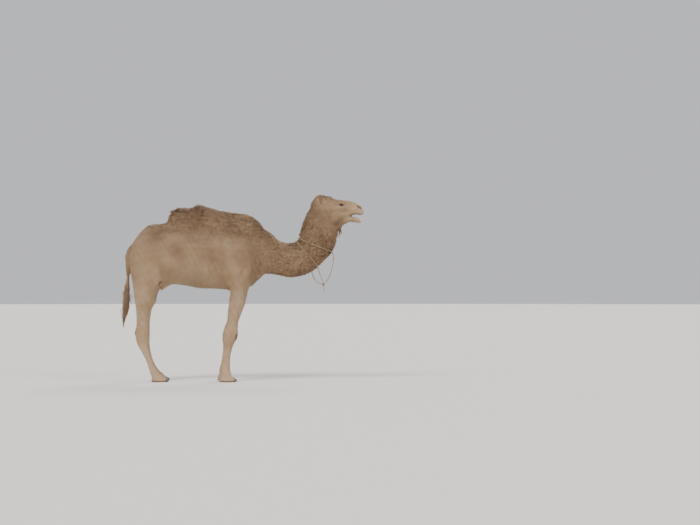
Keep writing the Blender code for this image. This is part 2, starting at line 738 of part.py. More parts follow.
def nails(feet, materials):
    """Two nails on the front of each foot, hollowed where they lie on it."""
    for name, pad in feet.items():
        pair, side = name.split("_")
        sign = dict(SIDES)[side]
        x, y, length, width = FORE_FOOT if pair == "fore" else HIND_FOOT
        stagger = FORE_STAGGER if pair == "fore" else HIND_STAGGER
        clear_of = swollen(pad, 2 * GAP)
        for place, turn in (("outer", sign), ("inner", -sign)):
            angle = turn * NAIL_ANGLE
            mesh = ellipsoid((0, 0, 0), NAIL_RADII, SMALL_FACETS)
            mesh.transform(Matrix.Rotation(angle, 4, "Z"))
            dx = math.cos(angle) * length * NAIL_REACH
            dy = math.sin(angle) * width * NAIL_REACH
            mesh.transform(Matrix.Translation((x - sign * stagger + dx, sign * y + dy, NAIL_HEIGHT)))
            mesh = largest_body(with_boolean(mesh, clear_of, "DIFFERENCE"))
            new_object("nail_" + name + "_" + place, mesh, materials["horn"])


def tail(trunk, materials):
    """The dock and its tuft, parted where the long hair begins."""
    rows = [(*row, 0.0) for row in TAIL]
    whole = path_sweep(rows, TAIL_STEPS, TAIL_POINTS)
    whole = largest_body(with_boolean(whole, swollen(trunk, GAP), "DIFFERENCE"))
    tuft, dock = parted(whole, ((0, 0, TAIL_CUT_Z), (0, 0, 1)))
    new_object("tail", dock, materials["short_fur"])
    new_object("tail_tuft", tuft, materials["wool"])


def along_route(route, spacing):
    """Points about spacing apart on a smooth curve through a route."""
    fine = [Vector(point) for point in smooth_rows(route, ROUTE_STEPS)]
    reach = [0.0]
    for one, two in zip(fine, fine[1:]):
        reach.append(reach[-1] + (two - one).length)
    count = max(round(reach[-1] / spacing), 2)
    points = []
    for k in range(count + 1):
        target = reach[-1] * k / count
        i = max(j for j in range(len(fine) - 1) if reach[j] <= target)
        share = min((target - reach[i]) / (reach[i + 1] - reach[i]), 1)
        points.append(fine[i].lerp(fine[i + 1], share))
    return points


def cord(name, points, material):
    """A round cord along the points, with closed ends."""
    curve = bpy.data.curves.new(name, "CURVE")
    curve.dimensions = "3D"
    curve.bevel_depth = CORD_RADIUS
    curve.bevel_resolution = 2
    curve.use_fill_caps = True
    spline = curve.splines.new("POLY")
    spline.points.add(len(points) - 1)
    for place, point in zip(spline.points, points):
        place.co = (*point, 1.0)
    return new_object(name, curve, material)


def laid_on(points, flesh):
    """The points, with those too near the flesh moved out from it."""
    tree = BVHTree.FromPolygons(
        [vert.co for vert in flesh.vertices], [face.vertices[:] for face in flesh.polygons]
    )
    placed = []
    for point in points:
        nearest, normal, _, _ = tree.find_nearest(point)
        if (point - nearest).dot(normal) < CORD_CLEARANCE:
            moved = nearest + normal * CORD_CLEARANCE
            point = Vector((moved.x, math.copysign(max(abs(moved.y), abs(point.y)), point.y), moved.z))
        placed.append(point)
    return placed


def cords(flesh, materials):
    """The four strands of the neck cord, its knot and its hanging end."""
    for name, route in CORD_ROUTES.items():
        points = laid_on(along_route(route, CORD_SPACING), flesh)
        cord("cord_" + name, points, materials["cord"])
    cord("cord_end", along_route(END_ROUTE, CORD_SPACING / 2), materials["cord"])
    new_object("cord_knot", ellipsoid(KNOT, KNOT_RADII, SMALL_FACETS), materials["cord"])


def main():
    clear_scene()
    materials = {
        "short_fur": finish_material("short_fur", FUR, 0.9),
        "wool": finish_material("wool", WOOL, 0.95),
        "horn": finish_material("horn", HORN, 0.6),
        "eye": finish_material("eye", EYE, 0.1),
        "cord": finish_material("cord", CORD, 0.85),
    }
    flesh = fused_flesh()
    trunk, head, jaw, feet = part_flesh(flesh, materials)
    head = eyes(head, materials)
    ears(head, materials)
    new_object("head", head, materials["short_fur"])
    new_object("jaw", teeth(jaw), materials["short_fur"])
    nails(feet, materials)
    tail(trunk, materials)
    cords(flesh, materials)


main()
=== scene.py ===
import json
import math

import bmesh
import bpy
import numpy as np
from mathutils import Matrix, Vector
from mathutils.bvhtree import BVHTree

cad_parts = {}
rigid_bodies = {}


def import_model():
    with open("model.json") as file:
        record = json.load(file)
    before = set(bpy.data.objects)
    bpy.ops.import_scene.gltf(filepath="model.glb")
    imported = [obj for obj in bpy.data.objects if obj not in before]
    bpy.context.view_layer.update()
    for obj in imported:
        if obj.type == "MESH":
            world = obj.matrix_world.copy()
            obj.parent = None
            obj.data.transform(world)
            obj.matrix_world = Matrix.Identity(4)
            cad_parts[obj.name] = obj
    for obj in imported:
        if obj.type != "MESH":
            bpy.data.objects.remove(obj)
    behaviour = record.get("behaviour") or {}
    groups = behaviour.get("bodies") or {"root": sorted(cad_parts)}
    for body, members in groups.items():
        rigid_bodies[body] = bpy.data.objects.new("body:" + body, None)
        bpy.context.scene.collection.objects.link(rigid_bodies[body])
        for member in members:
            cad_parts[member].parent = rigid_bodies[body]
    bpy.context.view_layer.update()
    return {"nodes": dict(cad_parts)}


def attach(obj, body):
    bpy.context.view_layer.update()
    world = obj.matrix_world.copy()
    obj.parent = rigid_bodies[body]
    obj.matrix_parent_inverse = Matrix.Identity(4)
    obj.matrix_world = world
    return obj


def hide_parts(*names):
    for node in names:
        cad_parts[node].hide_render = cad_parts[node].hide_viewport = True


# A standing dromedary, life size. Metres, +Z up, the head towards +X and the animal's left side +Y.
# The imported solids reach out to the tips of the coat. Here they get a skin that lies inside them by
# the coat's depth, a coat of mesh tufts and locks over it, and finer eyes, nails, teeth and cord.

for obj in list(bpy.data.objects):  # the new file's cube, lamp and camera
    bpy.data.objects.remove(obj)
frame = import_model()
print("frame loaded:", len(frame["nodes"]), "nodes")

# Shared ways of making a mesh


# unit vectors along the last axis
def unit(vectors):
    return vectors / np.maximum(np.linalg.norm(vectors, axis=-1, keepdims=True), 1e-12)


# 0 below low, 1 above high, and a smooth S between them
def ramp(values, low, high):
    t = np.clip((values - low) / (high - low), 0, 1)
    return t * t * (3 - 2 * t)


# faces is one array, or a list of arrays of triangles and of quads
def meshFrom(name, points, faces):
    groups = [np.asarray(f, np.int32) for f in (faces if isinstance(faces, list) else [faces])]
    corners = np.concatenate([g.ravel() for g in groups])
    counts = np.concatenate([np.full(len(g), g.shape[1]) for g in groups])
    mesh = bpy.data.meshes.new(name)
    mesh.vertices.add(len(points))
    mesh.vertices.foreach_set("co", np.asarray(points, np.float32).ravel())
    mesh.loops.add(len(corners))
    mesh.loops.foreach_set("vertex_index", corners)
    mesh.polygons.add(len(counts))
    mesh.polygons.foreach_set("loop_start", np.concatenate([[0], np.cumsum(counts)[:-1]]).astype(np.int32))
    mesh.update(calc_edges=True)
    return mesh


# the volume inside a mesh, negative where its faces point inwards
def volumeOf(mesh):
    a, b, c = pointsOf(mesh)[trianglesOf(mesh).T]
    return (np.cross(a, b) * c).sum() / 6


# a new object of this data, in the scene
def linked(name, data):
    obj = bpy.data.objects.new(name, data)
    bpy.context.scene.collection.objects.link(obj)
    return obj


# puts a mesh in the scene as a piece of the animal, smooth and facing outwards, with its finish
def addPiece(name, mesh, material, slotName, replaced=()):
    if volumeOf(mesh) < 0:
        mesh.flip_normals()
    obj = linked(name, mesh)
    mesh.materials.clear()
    mesh.materials.append(material)
    mesh.shade_smooth()
    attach(obj, "root")
    if replaced:
        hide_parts(*replaced)
    return obj


# a row for each item, from what its property holds
def rowsOf(items, key, wide, kind=np.float32):
    flat = np.empty(len(items) * wide, kind)
    items.foreach_get(key, flat)
    return flat.reshape(-1, wide)


def pointsOf(mesh):
    return rowsOf(mesh.vertices, "co", 3).astype(float)


def normalsOf(mesh):
    return rowsOf(mesh.vertex_normals, "vector", 3).astype(float)


# the corners of the mesh's triangles
def trianglesOf(mesh):
    mesh.calc_loop_triangles()
    return rowsOf(mesh.loop_triangles, "vertices", 3, np.int32)


def setPoints(mesh, points):
    mesh.vertices.foreach_set("co", np.asarray(points, np.float32).ravel())
    mesh.update()


# gives the points a value each, or a colour each where values has three columns
def setAttribute(mesh, name, values):
    if np.ndim(values) == 1:
        layer = mesh.attributes.new(name, "FLOAT", "POINT")
        layer.data.foreach_set("value", np.asarray(values, np.float32))
    else:
        layer = mesh.attributes.new(name, "FLOAT_COLOR", "POINT")
        opaque = np.ones((len(values), 1))
        layer.data.foreach_set("color", np.hstack([np.clip(values, 0, 1), opaque]).astype(np.float32).ravel())


# a Catmull-Rom curve through the rows of a table, in every column
def eased(rows, steps):
    rows = np.asarray(rows, float)
    wide = np.vstack([rows[:1], rows, rows[-1:]])
    before, start, end, after = (wide[k : len(wide) - 3 + k, None] for k in range(4))
    t = np.linspace(0, 1, steps, endpoint=False)[None, :, None]
    squared = (2 * before - 5 * start + 4 * end - after) * t**2
    cubed = (3 * start - 3 * end + after - before) * t**3
    curve = (2 * start + (end - before) * t + squared + cubed) / 2
    return np.vstack([curve.reshape(-1, rows.shape[1]), rows[-1:]])


# how far along a line of places each of them is
def reachAlong(line):
    return np.concatenate([[0], np.cumsum(np.linalg.norm(np.diff(line, axis=0), axis=1))])


# rings is (rows, points round, 3); the ends are closed by a point in the middle of each
def closedTube(rings):
    rows, count = rings.shape[:2]
    index = np.arange(rows * count).reshape(rows, count)
    nextOne = np.roll(index, -1, axis=1)
    quads = np.stack([index[:-1], nextOne[:-1], nextOne[1:], index[1:]], -1).reshape(-1, 4)
    first, last = rows * count, rows * count + 1
    fan = [
        np.stack([nextOne[0], index[0], np.full(count, first)], -1),
        np.stack([index[-1], nextOne[-1], np.full(count, last)], -1),
    ]
    points = np.vstack([rings.reshape(-1, 3), rings[0].mean(0), rings[-1].mean(0)])
    return points, [quads, np.vstack(fan)]


# upright rings in a row along X, from x, top, bottom, half width, top power and bottom power; the
# half width at an angle is its cosine raised to the power, so a power over 1 gives a pointed form
def levelSweep(rows, count=44, steps=6):
    rows = [(*row, 1.0, 1.0)[:6] for row in rows]
    x, top, bottom, halfWidth, topPower, bottomPower = eased(rows, steps).T[:, :, None]
    angle = np.linspace(0, math.tau, count, endpoint=False)[None]
    power = np.where(np.sin(angle) > 0, topPower, bottomPower)
    y = np.sign(np.cos(angle)) * np.abs(np.cos(angle)) ** power * halfWidth
    z = (top + bottom) / 2 + np.sin(angle) * (top - bottom) / 2
    return closedTube(np.stack([x + 0 * y, y, z], -1))


# rings square to a path in X and Z, from x, z, half depth, half width and distance from the midline
def pathSweep(rows, count=36, steps=6):
    x, z, deep, wide, y = eased([(*row, 0.0)[:5] for row in rows], steps).T
    along = unit(np.stack([np.gradient(x), 0 * x, np.gradient(z)], -1))[:, None]
    up = np.stack([-along[..., 2], 0 * along[..., 0], along[..., 0]], -1)
    angle = np.linspace(0, math.tau, count, endpoint=False)[None, :, None]
    centre = np.stack([x, y, z], -1)[:, None]
    side = np.array([0.0, 1.0, 0.0])
    upwards = up * np.sin(angle) * deep[:, None, None]
    return closedTube(centre + upwards + side * np.cos(angle) * wide[:, None, None])


# unit vectors on rings at these angles from the pole, which lies on +X
def ringsOfBall(polar, count):
    polar, angle = polar[:, None], np.linspace(0, math.tau, count, endpoint=False)[None]
    flat = np.sin(polar)
    return np.stack([np.cos(polar) + 0 * angle, flat * np.cos(angle), flat * np.sin(angle)], -1)


# a ball scaled to three radii, as rings from pole to pole
def ball(centre, radii, rings=24, count=36):
    shape = ringsOfBall(np.linspace(0.02, math.pi - 0.02, rings), count)
    return closedTube(shape * np.array(radii) + np.array(centre))


# the matrix that turns rows of places by an angle from one axis towards another
def turning(angle, one, two):
    matrix = np.eye(3)
    matrix[[one, two], [one, two]] = math.cos(angle)
    matrix[one, two] = math.sin(angle)
    matrix[two, one] = -math.sin(angle)
    return matrix


# several pieces of points and faces as one
def joined(parts):
    points, quads, triangles, start = [], [], [], 0
    for partPoints, (partQuads, partTriangles) in parts:
        points.append(partPoints)
        quads.append(partQuads + start)
        triangles.append(partTriangles + start)
        start += len(partPoints)
    return np.vstack(points), [np.vstack(quads), np.vstack(triangles)]


# smooth noise from -1 to 1: the sum of nine sine waves in random directions, about size metres long
def noise(points, size, seed, waves=9):
    random = np.random.default_rng(seed)
    direction = unit(random.normal(size=(waves, 3))) * math.tau / size * random.uniform(0.6, 1.5, (waves, 1))
    return np.sin(points @ direction.T + random.uniform(0, math.tau, waves)).sum(1) / math.sqrt(waves * 1.6)


# a bell: e to the power of minus the square of distance over breadth, which is 1 in its middle
def bell(away, broad):
    return np.exp(-((away / broad) ** 2))


# the points with those of the right side mirrored onto the left
def onLeft(points):
    return points * [1, 0, 1] + np.abs(points) * [0, 1, 0]


# one where share is 0, two where it is 1, and a mixture between
def blended(one, two, share):
    return one * (1 - share[:, None]) + two * share[:, None]


# how far each point is from the straight line between two places
def awayFrom(points, start, end):
    start, end = np.array(start, float), np.array(end, float)
    line = end - start
    share = np.clip((points - start) @ line / max(line @ line, 1e-12), 0, 1)
    return np.linalg.norm(points - start - share[:, None] * line, axis=1)


# Camera, floor and light

cameraPlan = {"place": (1.198, -18.5, 1.042), "lens": 85.0, "sensor": 36.0, "pitch": 0.884}
camera = linked("camera", bpy.data.cameras.new("camera"))
camera.location = cameraPlan["place"]
camera.rotation_euler = (math.radians(90 + cameraPlan["pitch"]), 0, 0)
camera.data.lens = cameraPlan["lens"]
camera.data.sensor_width = cameraPlan["sensor"]
camera.data.clip_end = 200
bpy.context.scene.camera = camera



# a new material with its shader's own values set; gives the material, its tree and the shader
def newFinish(name, **values):
    material = bpy.data.materials.new(name)
    material.use_nodes = True
    shader = material.node_tree.nodes["Principled BSDF"]
    for key, value in values.items():
        shader.inputs[key.replace("_", " ")].default_value = value
    return material, material.node_tree, shader


floorPlan = {"radius": 90.0, "corners": 96, "colour": (0.80, 0.77, 0.72, 1)}
skyPlan = {"Color": (0.88, 0.89, 0.92, 1), "Strength": 0.74}
count = floorPlan["corners"]
angle = np.linspace(0, math.tau, count, endpoint=False)
rim = np.stack([np.cos(angle), np.sin(angle), 0 * angle], -1) * floorPlan["radius"]
fan = np.stack([np.arange(count), (np.arange(count) + 1) % count, np.full(count, count)], -1)
floor = linked("floor", meshFrom("floor", np.vstack([rim, [(0, 0, 0)]]), fan))
floor.data.materials.append(newFinish("floor", Base_Color=floorPlan["colour"], Roughness=0.9)[0])

world = bpy.data.worlds.new("studio")
bpy.context.scene.world = world
world.use_nodes = True
for key, value in skyPlan.items():
    world.node_tree.nodes["Background"].inputs[key].default_value = value

# broad far lights, so that the floor is lit evenly: from where, strength and breadth in degrees
lightPlan = {
    "key": ((-0.45, -0.75, 0.85), 2.6, 22.0),
    "fill": ((0.80, -0.55, 0.40), 0.85, 34.0),
    "back": ((0.30, 0.80, 0.70), 1.1, 24.0),
}
for name, (place, strength, breadth) in lightPlan.items():
    lamp = linked(name, bpy.data.lights.new(name, "SUN"))
    lamp.data.energy = strength
    lamp.data.angle = math.radians(breadth)
    lamp.location = Vector(place) * 10
    lamp.rotation_euler = (-Vector(place)).to_track_quat("-Z", "Y").to_euler()
print("camera, floor and lights")

# Shared finishes. A node group puts out colours, masks and values; the shader stays in the material.


# a new group with these inputs (name, kind, value) and outputs (name, kind); gives it and its two end nodes
def newGroup(name, inputs, outputs):
    group = bpy.data.node_groups.new(name, "ShaderNodeTree")
    for label, kind, value in inputs:
        socket = group.interface.new_socket(label, in_out="INPUT", socket_type="NodeSocket" + kind)
        if value is not None:
            socket.default_value = value
    for label, kind in outputs:
        group.interface.new_socket(label, in_out="OUTPUT", socket_type="NodeSocket" + kind)
    return group, group.nodes.new("NodeGroupInput"), group.nodes.new("NodeGroupOutput")


# links a socket from another one, or sets its value
def giveSocket(tree, socket, value):
    if isinstance(value, bpy.types.NodeSocket):
        tree.links.new(value, socket)
    else:
        socket.default_value = value


# adds a node and gives it its properties and its inputs, which are named, or numbered as in i0
def addNode(tree, kind, settings=None, **sockets):
    node = tree.nodes.new("ShaderNode" + kind)
    for key, value in (settings or {}).items():
        setattr(node, key, value)
    for key, value in sockets.items():
        isNumbered = key[0] == "i" and key[1:].isdigit()
        giveSocket(tree, node.inputs[int(key[1:]) if isNumbered else key.replace("_", " ")], value)
    return node


# sum, product and the like of two values
def maths(tree, operation, one, two=0.0):
    return addNode(tree, "Math", {"operation": operation}, i0=one, i1=two).outputs[0]


def plus(tree, one, two):
    return maths(tree, "ADD", one, two)


def minus(tree, one, two):
    return maths(tree, "SUBTRACT", one, two)


def times(tree, one, two):
    return maths(tree, "MULTIPLY", one, two)


# the colour made lighter or darker by a level, of which 1 leaves it as it is
def tinted(tree, colour, level):
    grey = addNode(tree, "CombineColor", i0=level, i1=level, i2=level).outputs[0]
    settings = {"data_type": "RGBA", "blend_type": "MULTIPLY"}
    return addNode(tree, "Mix", settings, i0=1.0, i6=colour, i7=grey).outputs[2]


def objectPlace(tree):
    return addNode(tree, "TexCoord").outputs["Object"]


# noise in object coordinates, stretched by a scale for each axis
def grain(tree, scale, stretch=(1, 1, 1), detail=3.0):
    mapping = addNode(tree, "Mapping", Vector=objectPlace(tree), Scale=stretch)
    sockets = {"Vector": mapping.outputs[0], "Scale": scale, "Detail": detail, "Roughness": 0.6}
    return addNode(tree, "TexNoise", **sockets).outputs[0]


# bands between two colours, where a value runs from low to high
def twoTones(tree, value, low, dark, high, light):
    bands = addNode(tree, "ValToRGB", Fac=value)
    for element, position, colour in zip(bands.color_ramp.elements, (low, high), (dark, light)):
        element.position = position
        element.color = (*colour, 1)
    return bands.outputs[0]


# hair: the tuft's own colour, with painted shade that darkens it towards its root where the shade between
# tufts falls, lighter at its tip, and with fine strands in it
def hairGroup():
    inputs = [
        ("Colour", "Color", None),
        ("Shade", "Float", 0.5),
        ("Along", "Float", 0.5),
        ("Across", "Float", 0.5),
        ("Root painted shade", "Float", 0.35),
        ("Tip light", "Float", 0.2),
        ("Variety", "Float", 0.35),
        ("Strands", "Float", 18.0),
    ]
    group, start, end = newGroup("hairTone", inputs, [("Colour", "Color"), ("Height", "Float")])
    given = start.outputs
    bent = times(group, grain(group, 260.0, detail=2.0), 7.0)
    turns = plus(group, times(group, given["Across"], given["Strands"]), bent)
    strands = plus(group, 0.5, times(group, maths(group, "SINE", turns), 0.5))
    fromTip = minus(group, 1.0, given["Along"])
    # painted shade: the tuft is darker towards its root, standing in for the shade between the tufts
    low = minus(group, 1.0, times(group, given["Root painted shade"], fromTip))
    high = plus(group, low, times(group, given["Tip light"], given["Along"]))
    ownShade = minus(group, given["Shade"], 0.5)
    own = times(group, ownShade, times(group, given["Variety"], 2.0))
    fine = times(group, minus(group, strands, 0.5), 0.22)
    level = plus(group, plus(group, high, own), fine)
    group.links.new(tinted(group, given["Colour"], level), end.inputs["Colour"])
    group.links.new(strands, end.inputs["Height"])
    return group


# hide: a colour broken up by soft patches and by short hairs that run down the legs and back along the body
def hideGroup():
    inputs = [
        ("Colour", "Color", None),
        ("Bare", "Float", 0.0),
        ("Patches", "Float", 0.2),
        ("Hairs", "Float", 0.55),
    ]
    outputs = [("Colour", "Color"), ("Roughness", "Float"), ("Height", "Float")]
    group, start, end = newGroup("hideTone", inputs, outputs)
    given = start.outputs
    patches = grain(group, 11.0, detail=4.0)
    down = grain(group, 900.0, (1.0, 1.0, 0.13), 3.0)
    back = grain(group, 900.0, (0.14, 1.0, 0.42), 3.0)
    toEdge = {"feature": "DISTANCE_TO_EDGE"}
    wrinkles = addNode(group, "TexVoronoi", toEdge, Vector=objectPlace(group), Scale=170.0).outputs[0]
    height = addNode(group, "SeparateXYZ", Vector=objectPlace(group)).outputs["Z"]
    isLeg = addNode(group, "MapRange", Value=height, From_Min=1.15, From_Max=0.85, To_Min=0.0, To_Max=1.0)
    isLeg = isLeg.outputs[0]
    hairs = plus(group, times(group, down, isLeg), times(group, back, minus(group, 1.0, isLeg)))
    patchy = times(group, minus(group, patches, 0.5), times(group, given["Patches"], 2.0))
    patchy = plus(group, 1.0, patchy)
    furred = minus(group, 1.0, given["Bare"])
    hairy = times(group, times(group, minus(group, hairs, 0.5), given["Hairs"]), furred)
    level = plus(group, patchy, hairy)
    group.links.new(tinted(group, given["Colour"], level), end.inputs["Colour"])
    group.links.new(plus(group, 0.62, times(group, furred, 0.22)), end.inputs["Roughness"])
    cracks = times(group, maths(group, "MINIMUM", times(group, wrinkles, 9.0), 1.0), given["Bare"])
    group.links.new(plus(group, times(group, hairs, furred), cracks), end.inputs["Height"])
    return group


hairTone, hideTone = hairGroup(), hideGroup()


def attributeOf(tree, name, output="Fac"):
    return addNode(tree, "Attribute", {"attribute_name": name}).outputs[output]


# bump from a height, into the shader
def addBump(tree, shader, height, strength, distance):
    bump = addNode(tree, "Bump", Height=height, Strength=strength, Distance=distance)
    tree.links.new(bump.outputs[0], shader.inputs["Normal"])


# a finish from a tone group: the attributes that it takes, its own values, and the bump's strength and
# distance; the shader's own values come last
def tonedFinish(name, group, attributes, toneValues, bump, **values):
    material, tree, shader = newFinish(name, **values)
    tone = tree.nodes.new("ShaderNodeGroup")
    tone.node_tree = group
    tree.links.new(attributeOf(tree, "furColour", "Color"), tone.inputs["Colour"])
    for attribute in attributes:
        tree.links.new(attributeOf(tree, attribute), tone.inputs[attribute.capitalize()])
    for label, value in toneValues.items():
        tone.inputs[label].default_value = value
    tree.links.new(tone.outputs["Colour"], shader.inputs["Base Color"])
    if "Roughness" in tone.outputs:
        tree.links.new(tone.outputs["Roughness"], shader.inputs["Roughness"])
    addBump(tree, shader, tone.outputs["Height"], *bump)
    return material


# hair, whose tone's values are given in the order root painted shade, tip light, variety and strands
def hairFinish(name, toneValues, roughness, sheen, sheenRoughness):
    toneValues = dict(zip(("Root painted shade", "Tip light", "Variety", "Strands"), toneValues))
    values = {"Roughness": roughness, "Sheen_Weight": sheen, "Sheen_Roughness": sheenRoughness}
    return tonedFinish(name, hairTone, ("shade", "along", "across"), toneValues, (0.5, 0.0008), **values)


shortFur = hairFinish("shortFur", (0.14, 0.06, 0.15, 14.0), 0.62, 0.15, 0.5)
woolFur = hairFinish("woolFur", (0.42, 0.08, 0.26, 30.0), 0.80, 0.12, 0.6)
longHair = hairFinish("longHair", (0.30, 0.08, 0.34, 12.0), 0.50, 0.10, 0.4)
hide = tonedFinish("hide", hideTone, ("bare",), {}, (0.55, 0.0016), Sheen_Weight=0.04, Sheen_Roughness=0.5)
print("finishes of hide and hair")

# Neck cord: wound twice round the neck and tied below it, with a short end hanging from the knot.
# Each route runs from the top of the neck down one side, leaves the throat and hangs to the knot.
cordPlan = {
    "radius": 0.0045, "spacing": 0.040, "clearance": 0.0110, "strands": 3, "pitch": 0.030, "round": 18,
    "step": 0.0022,
}
cordRoutes = {
    "front_left": [
        (0.615, 0.0016, 1.602), (0.619, 0.022, 1.600), (0.640, 0.052, 1.589), (0.680, 0.084, 1.570),
        (0.740, 0.108, 1.545), (0.800, 0.114, 1.520), (0.860, 0.113, 1.497), (0.920, 0.098, 1.474),
        (0.965, 0.072, 1.458), (0.996, 0.045, 1.444), (1.013, 0.030, 1.410), (1.011, 0.025, 1.345),
        (0.998, 0.021, 1.265), (0.974, 0.016, 1.187), (0.940, 0.010, 1.123), (0.9135, 0.0062, 1.0965),
    ],
    "rear_left": [
        (0.590, 0.0016, 1.578), (0.591, 0.022, 1.574), (0.597, 0.053, 1.553), (0.610, 0.086, 1.515),
        (0.640, 0.112, 1.455), (0.680, 0.118, 1.390), (0.711, 0.111, 1.339), (0.741, 0.095, 1.294),
        (0.760, 0.074, 1.250), (0.773, 0.055, 1.205), (0.790, 0.040, 1.162), (0.820, 0.022, 1.118),
        (0.852, 0.010, 1.095), (0.8795, 0.004, 1.0885),
    ],
    "rear_right": [
        (0.590, -0.0016, 1.578), (0.593, -0.022, 1.574), (0.606, -0.053, 1.554), (0.640, -0.094, 1.508),
        (0.689, -0.115, 1.456), (0.730, -0.116, 1.410), (0.771, -0.107, 1.365), (0.804, -0.088, 1.328),
        (0.832, -0.062, 1.290), (0.847, -0.044, 1.250), (0.860, -0.031, 1.205), (0.878, -0.016, 1.155),
        (0.896, -0.004, 1.1020),
    ],
}
cordRoutes["front_right"] = [(x, -y, z) for x, y, z in cordRoutes["front_left"]]
endRoute = [(0.900, 0.0, 1.0640), (0.903, 0.0, 1.050), (0.908, 0.0, 1.030), (0.909, 0.0, 1.008)]
knotPlan = {"centre": (0.900, 0.0, 1.082), "radii": (0.017, 0.014, 0.017), "steps": 150, "cord": 0.0043}
# the hanging end's loose yarns: how many, how far from its middle, how long and how thick
yarnPlan = {"count": 14, "out": 0.0022, "length": 0.024, "radius": 0.0011, "from": 0.80}
fleshNodes = ["trunk", "hump", "neck_lower", "neck_middle", "neck_upper", "head", "jaw"]
fleshNodes += ["ear_left", "ear_right", "tail"]
for leg in ("fore_left", "fore_right", "hind_left", "hind_right"):
    fleshNodes += [leg + "_upper_leg", leg + "_lower_leg", leg + "_foot"]

cordFinish, tree, shader = newFinish("cordFibre", Roughness=0.88, Sheen_Weight=0.25, Sheen_Roughness=0.5)
fibres = grain(tree, 900.0, (1, 1, 1), 4.0)
worn = plus(tree, times(tree, fibres, 0.55), times(tree, grain(tree, 36.0), 0.45))
shades = twoTones(tree, worn, 0.38, (0.115, 0.072, 0.034), 0.62, (0.40, 0.295, 0.165))
tree.links.new(shades, shader.inputs["Base Color"])
addBump(tree, shader, fibres, 0.6, 0.0006)


# places evenly spaced along a smooth line through a route
def alongRoute(route, spacing):
    fine = eased(route, 24)
    reach = reachAlong(fine)
    targets = np.linspace(0, reach[-1], max(round(reach[-1] / spacing), 2) + 1)
    return np.stack([np.interp(targets, reach, fine[:, k]) for k in range(3)], -1)


# the flesh as a tree to measure from
flesh = bmesh.new()
for name in fleshNodes:
    flesh.from_mesh(frame["nodes"][name].data)
fleshTree = BVHTree.FromBMesh(flesh)
flesh.free()


# the places, with those too near the flesh moved out from it
def laidOn(points):
    placed = []
    for point in points:
        nearest, normal, _, _ = fleshTree.find_nearest(Vector(point))
        if (Vector(point) - nearest).dot(normal) < cordPlan["clearance"]:
            moved = nearest + normal * cordPlan["clearance"]
            point = (moved.x, math.copysign(max(abs(moved.y), abs(point[1])), point[1]), moved.z)
        placed.append(point)
    return np.array(placed)


# a laid cord: round its line go three strands, so the section's edge is three arcs that turn along it
def laidCord(line, radius, taper=None):
    along = unit(np.gradient(line, axis=0))
    across = [np.cross(along[0], unit(np.array([0.3, 1.0, 0.2])))]
    for direction in along[1:]:  # carried along without twisting
        across.append(unit(across[-1] - direction * (across[-1] @ direction)))
    across = unit(np.array(across))
    beside = np.cross(along, across)
    reach = reachAlong(line)[:, None]
    angle = np.linspace(0, math.tau, cordPlan["round"], endpoint=False)[None]
    lobes = np.abs(np.cos(cordPlan["strands"] / 2 * (angle - math.tau * reach / cordPlan["pitch"])))
    size = radius * (0.74 + 0.26 * lobes**0.6) * (1 if taper is None else taper[:, None])
    one, two = (np.cos(angle) * size)[..., None], (np.sin(angle) * size)[..., None]
    return closedTube(line[:, None] + one * across[:, None] + two * beside[:, None])


cordPieces, cordLines = {}, {}
for name, route in cordRoutes.items():
    laid = laidOn(alongRoute(route, cordPlan["spacing"]))
    inKnot = np.array(knotPlan["centre"]) + 0.3 * (laid[-1] - np.array(knotPlan["centre"]))
    laid = np.vstack([laid, inKnot])
    line = alongRoute(laid, cordPlan["step"])
    cordLines[name] = line
    mesh = meshFrom("neck_cord_" + name, *laidCord(line, cordPlan["radius"]))
    cordPieces[name] = addPiece("neck_cord_" + name, mesh, cordFinish, "cord", ["cord_" + name])

# knot: a trefoil round its own middle, flattened to three radii
turn = np.linspace(0, math.tau, knotPlan["steps"])
ringShare = (2 + np.cos(3 * turn)) / 3
line = np.stack([ringShare * np.cos(2 * turn), 0.8 * np.sin(3 * turn), ringShare * np.sin(2 * turn)], -1)
line = line * (np.array(knotPlan["radii"]) - knotPlan["cord"]) * (1, 0.9, 1) + np.array(knotPlan["centre"])
mesh = meshFrom("knot", *laidCord(line, knotPlan["cord"]))
knot = addPiece("neck_cord_knot", mesh, cordFinish, "cord", ["cord_knot"])

# hanging end: a cord whose last part is loose yarn, thinning to its tip
line = alongRoute([knotPlan["centre"]] + endRoute, 0.0015)
share = np.linspace(0, 1, len(line))
endParts = [laidCord(line, cordPlan["radius"], 1 - 0.35 * ramp(share, 0.65, 0.8))]
random = np.random.default_rng(8)
start = line[int(len(line) * yarnPlan["from"])]
part = np.linspace(0, 1, 10)[:, None]
for k in range(yarnPlan["count"]):
    angle = k * 2.4
    yarn = np.array([np.cos(angle), np.sin(angle), 0]) * yarnPlan["out"]
    down = np.array([0.0008 * np.cos(angle * 3), 0, -yarnPlan["length"] * random.uniform(0.6, 1)])
    fall = start + yarn * (1 + 0.9 * part) + down * part
    fall = fall + 0.0006 * np.sin(part * 9 + angle) * np.array([1, 1, 0])
    endParts.append(laidCord(fall, yarnPlan["radius"], 1 - 0.8 * part[:, 0]))
end = addPiece("neck_cord_end", meshFrom("end", *joined(endParts)), cordFinish, "cord", ["cord_end"])

for name, line in cordLines.items():
    length = np.linalg.norm(np.diff(line, axis=0), axis=1).sum()
    print("cord", name, round(length, 4), "m")
    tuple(line[0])
print("cords in place")

# Form of the animal, out to the tips of its coat

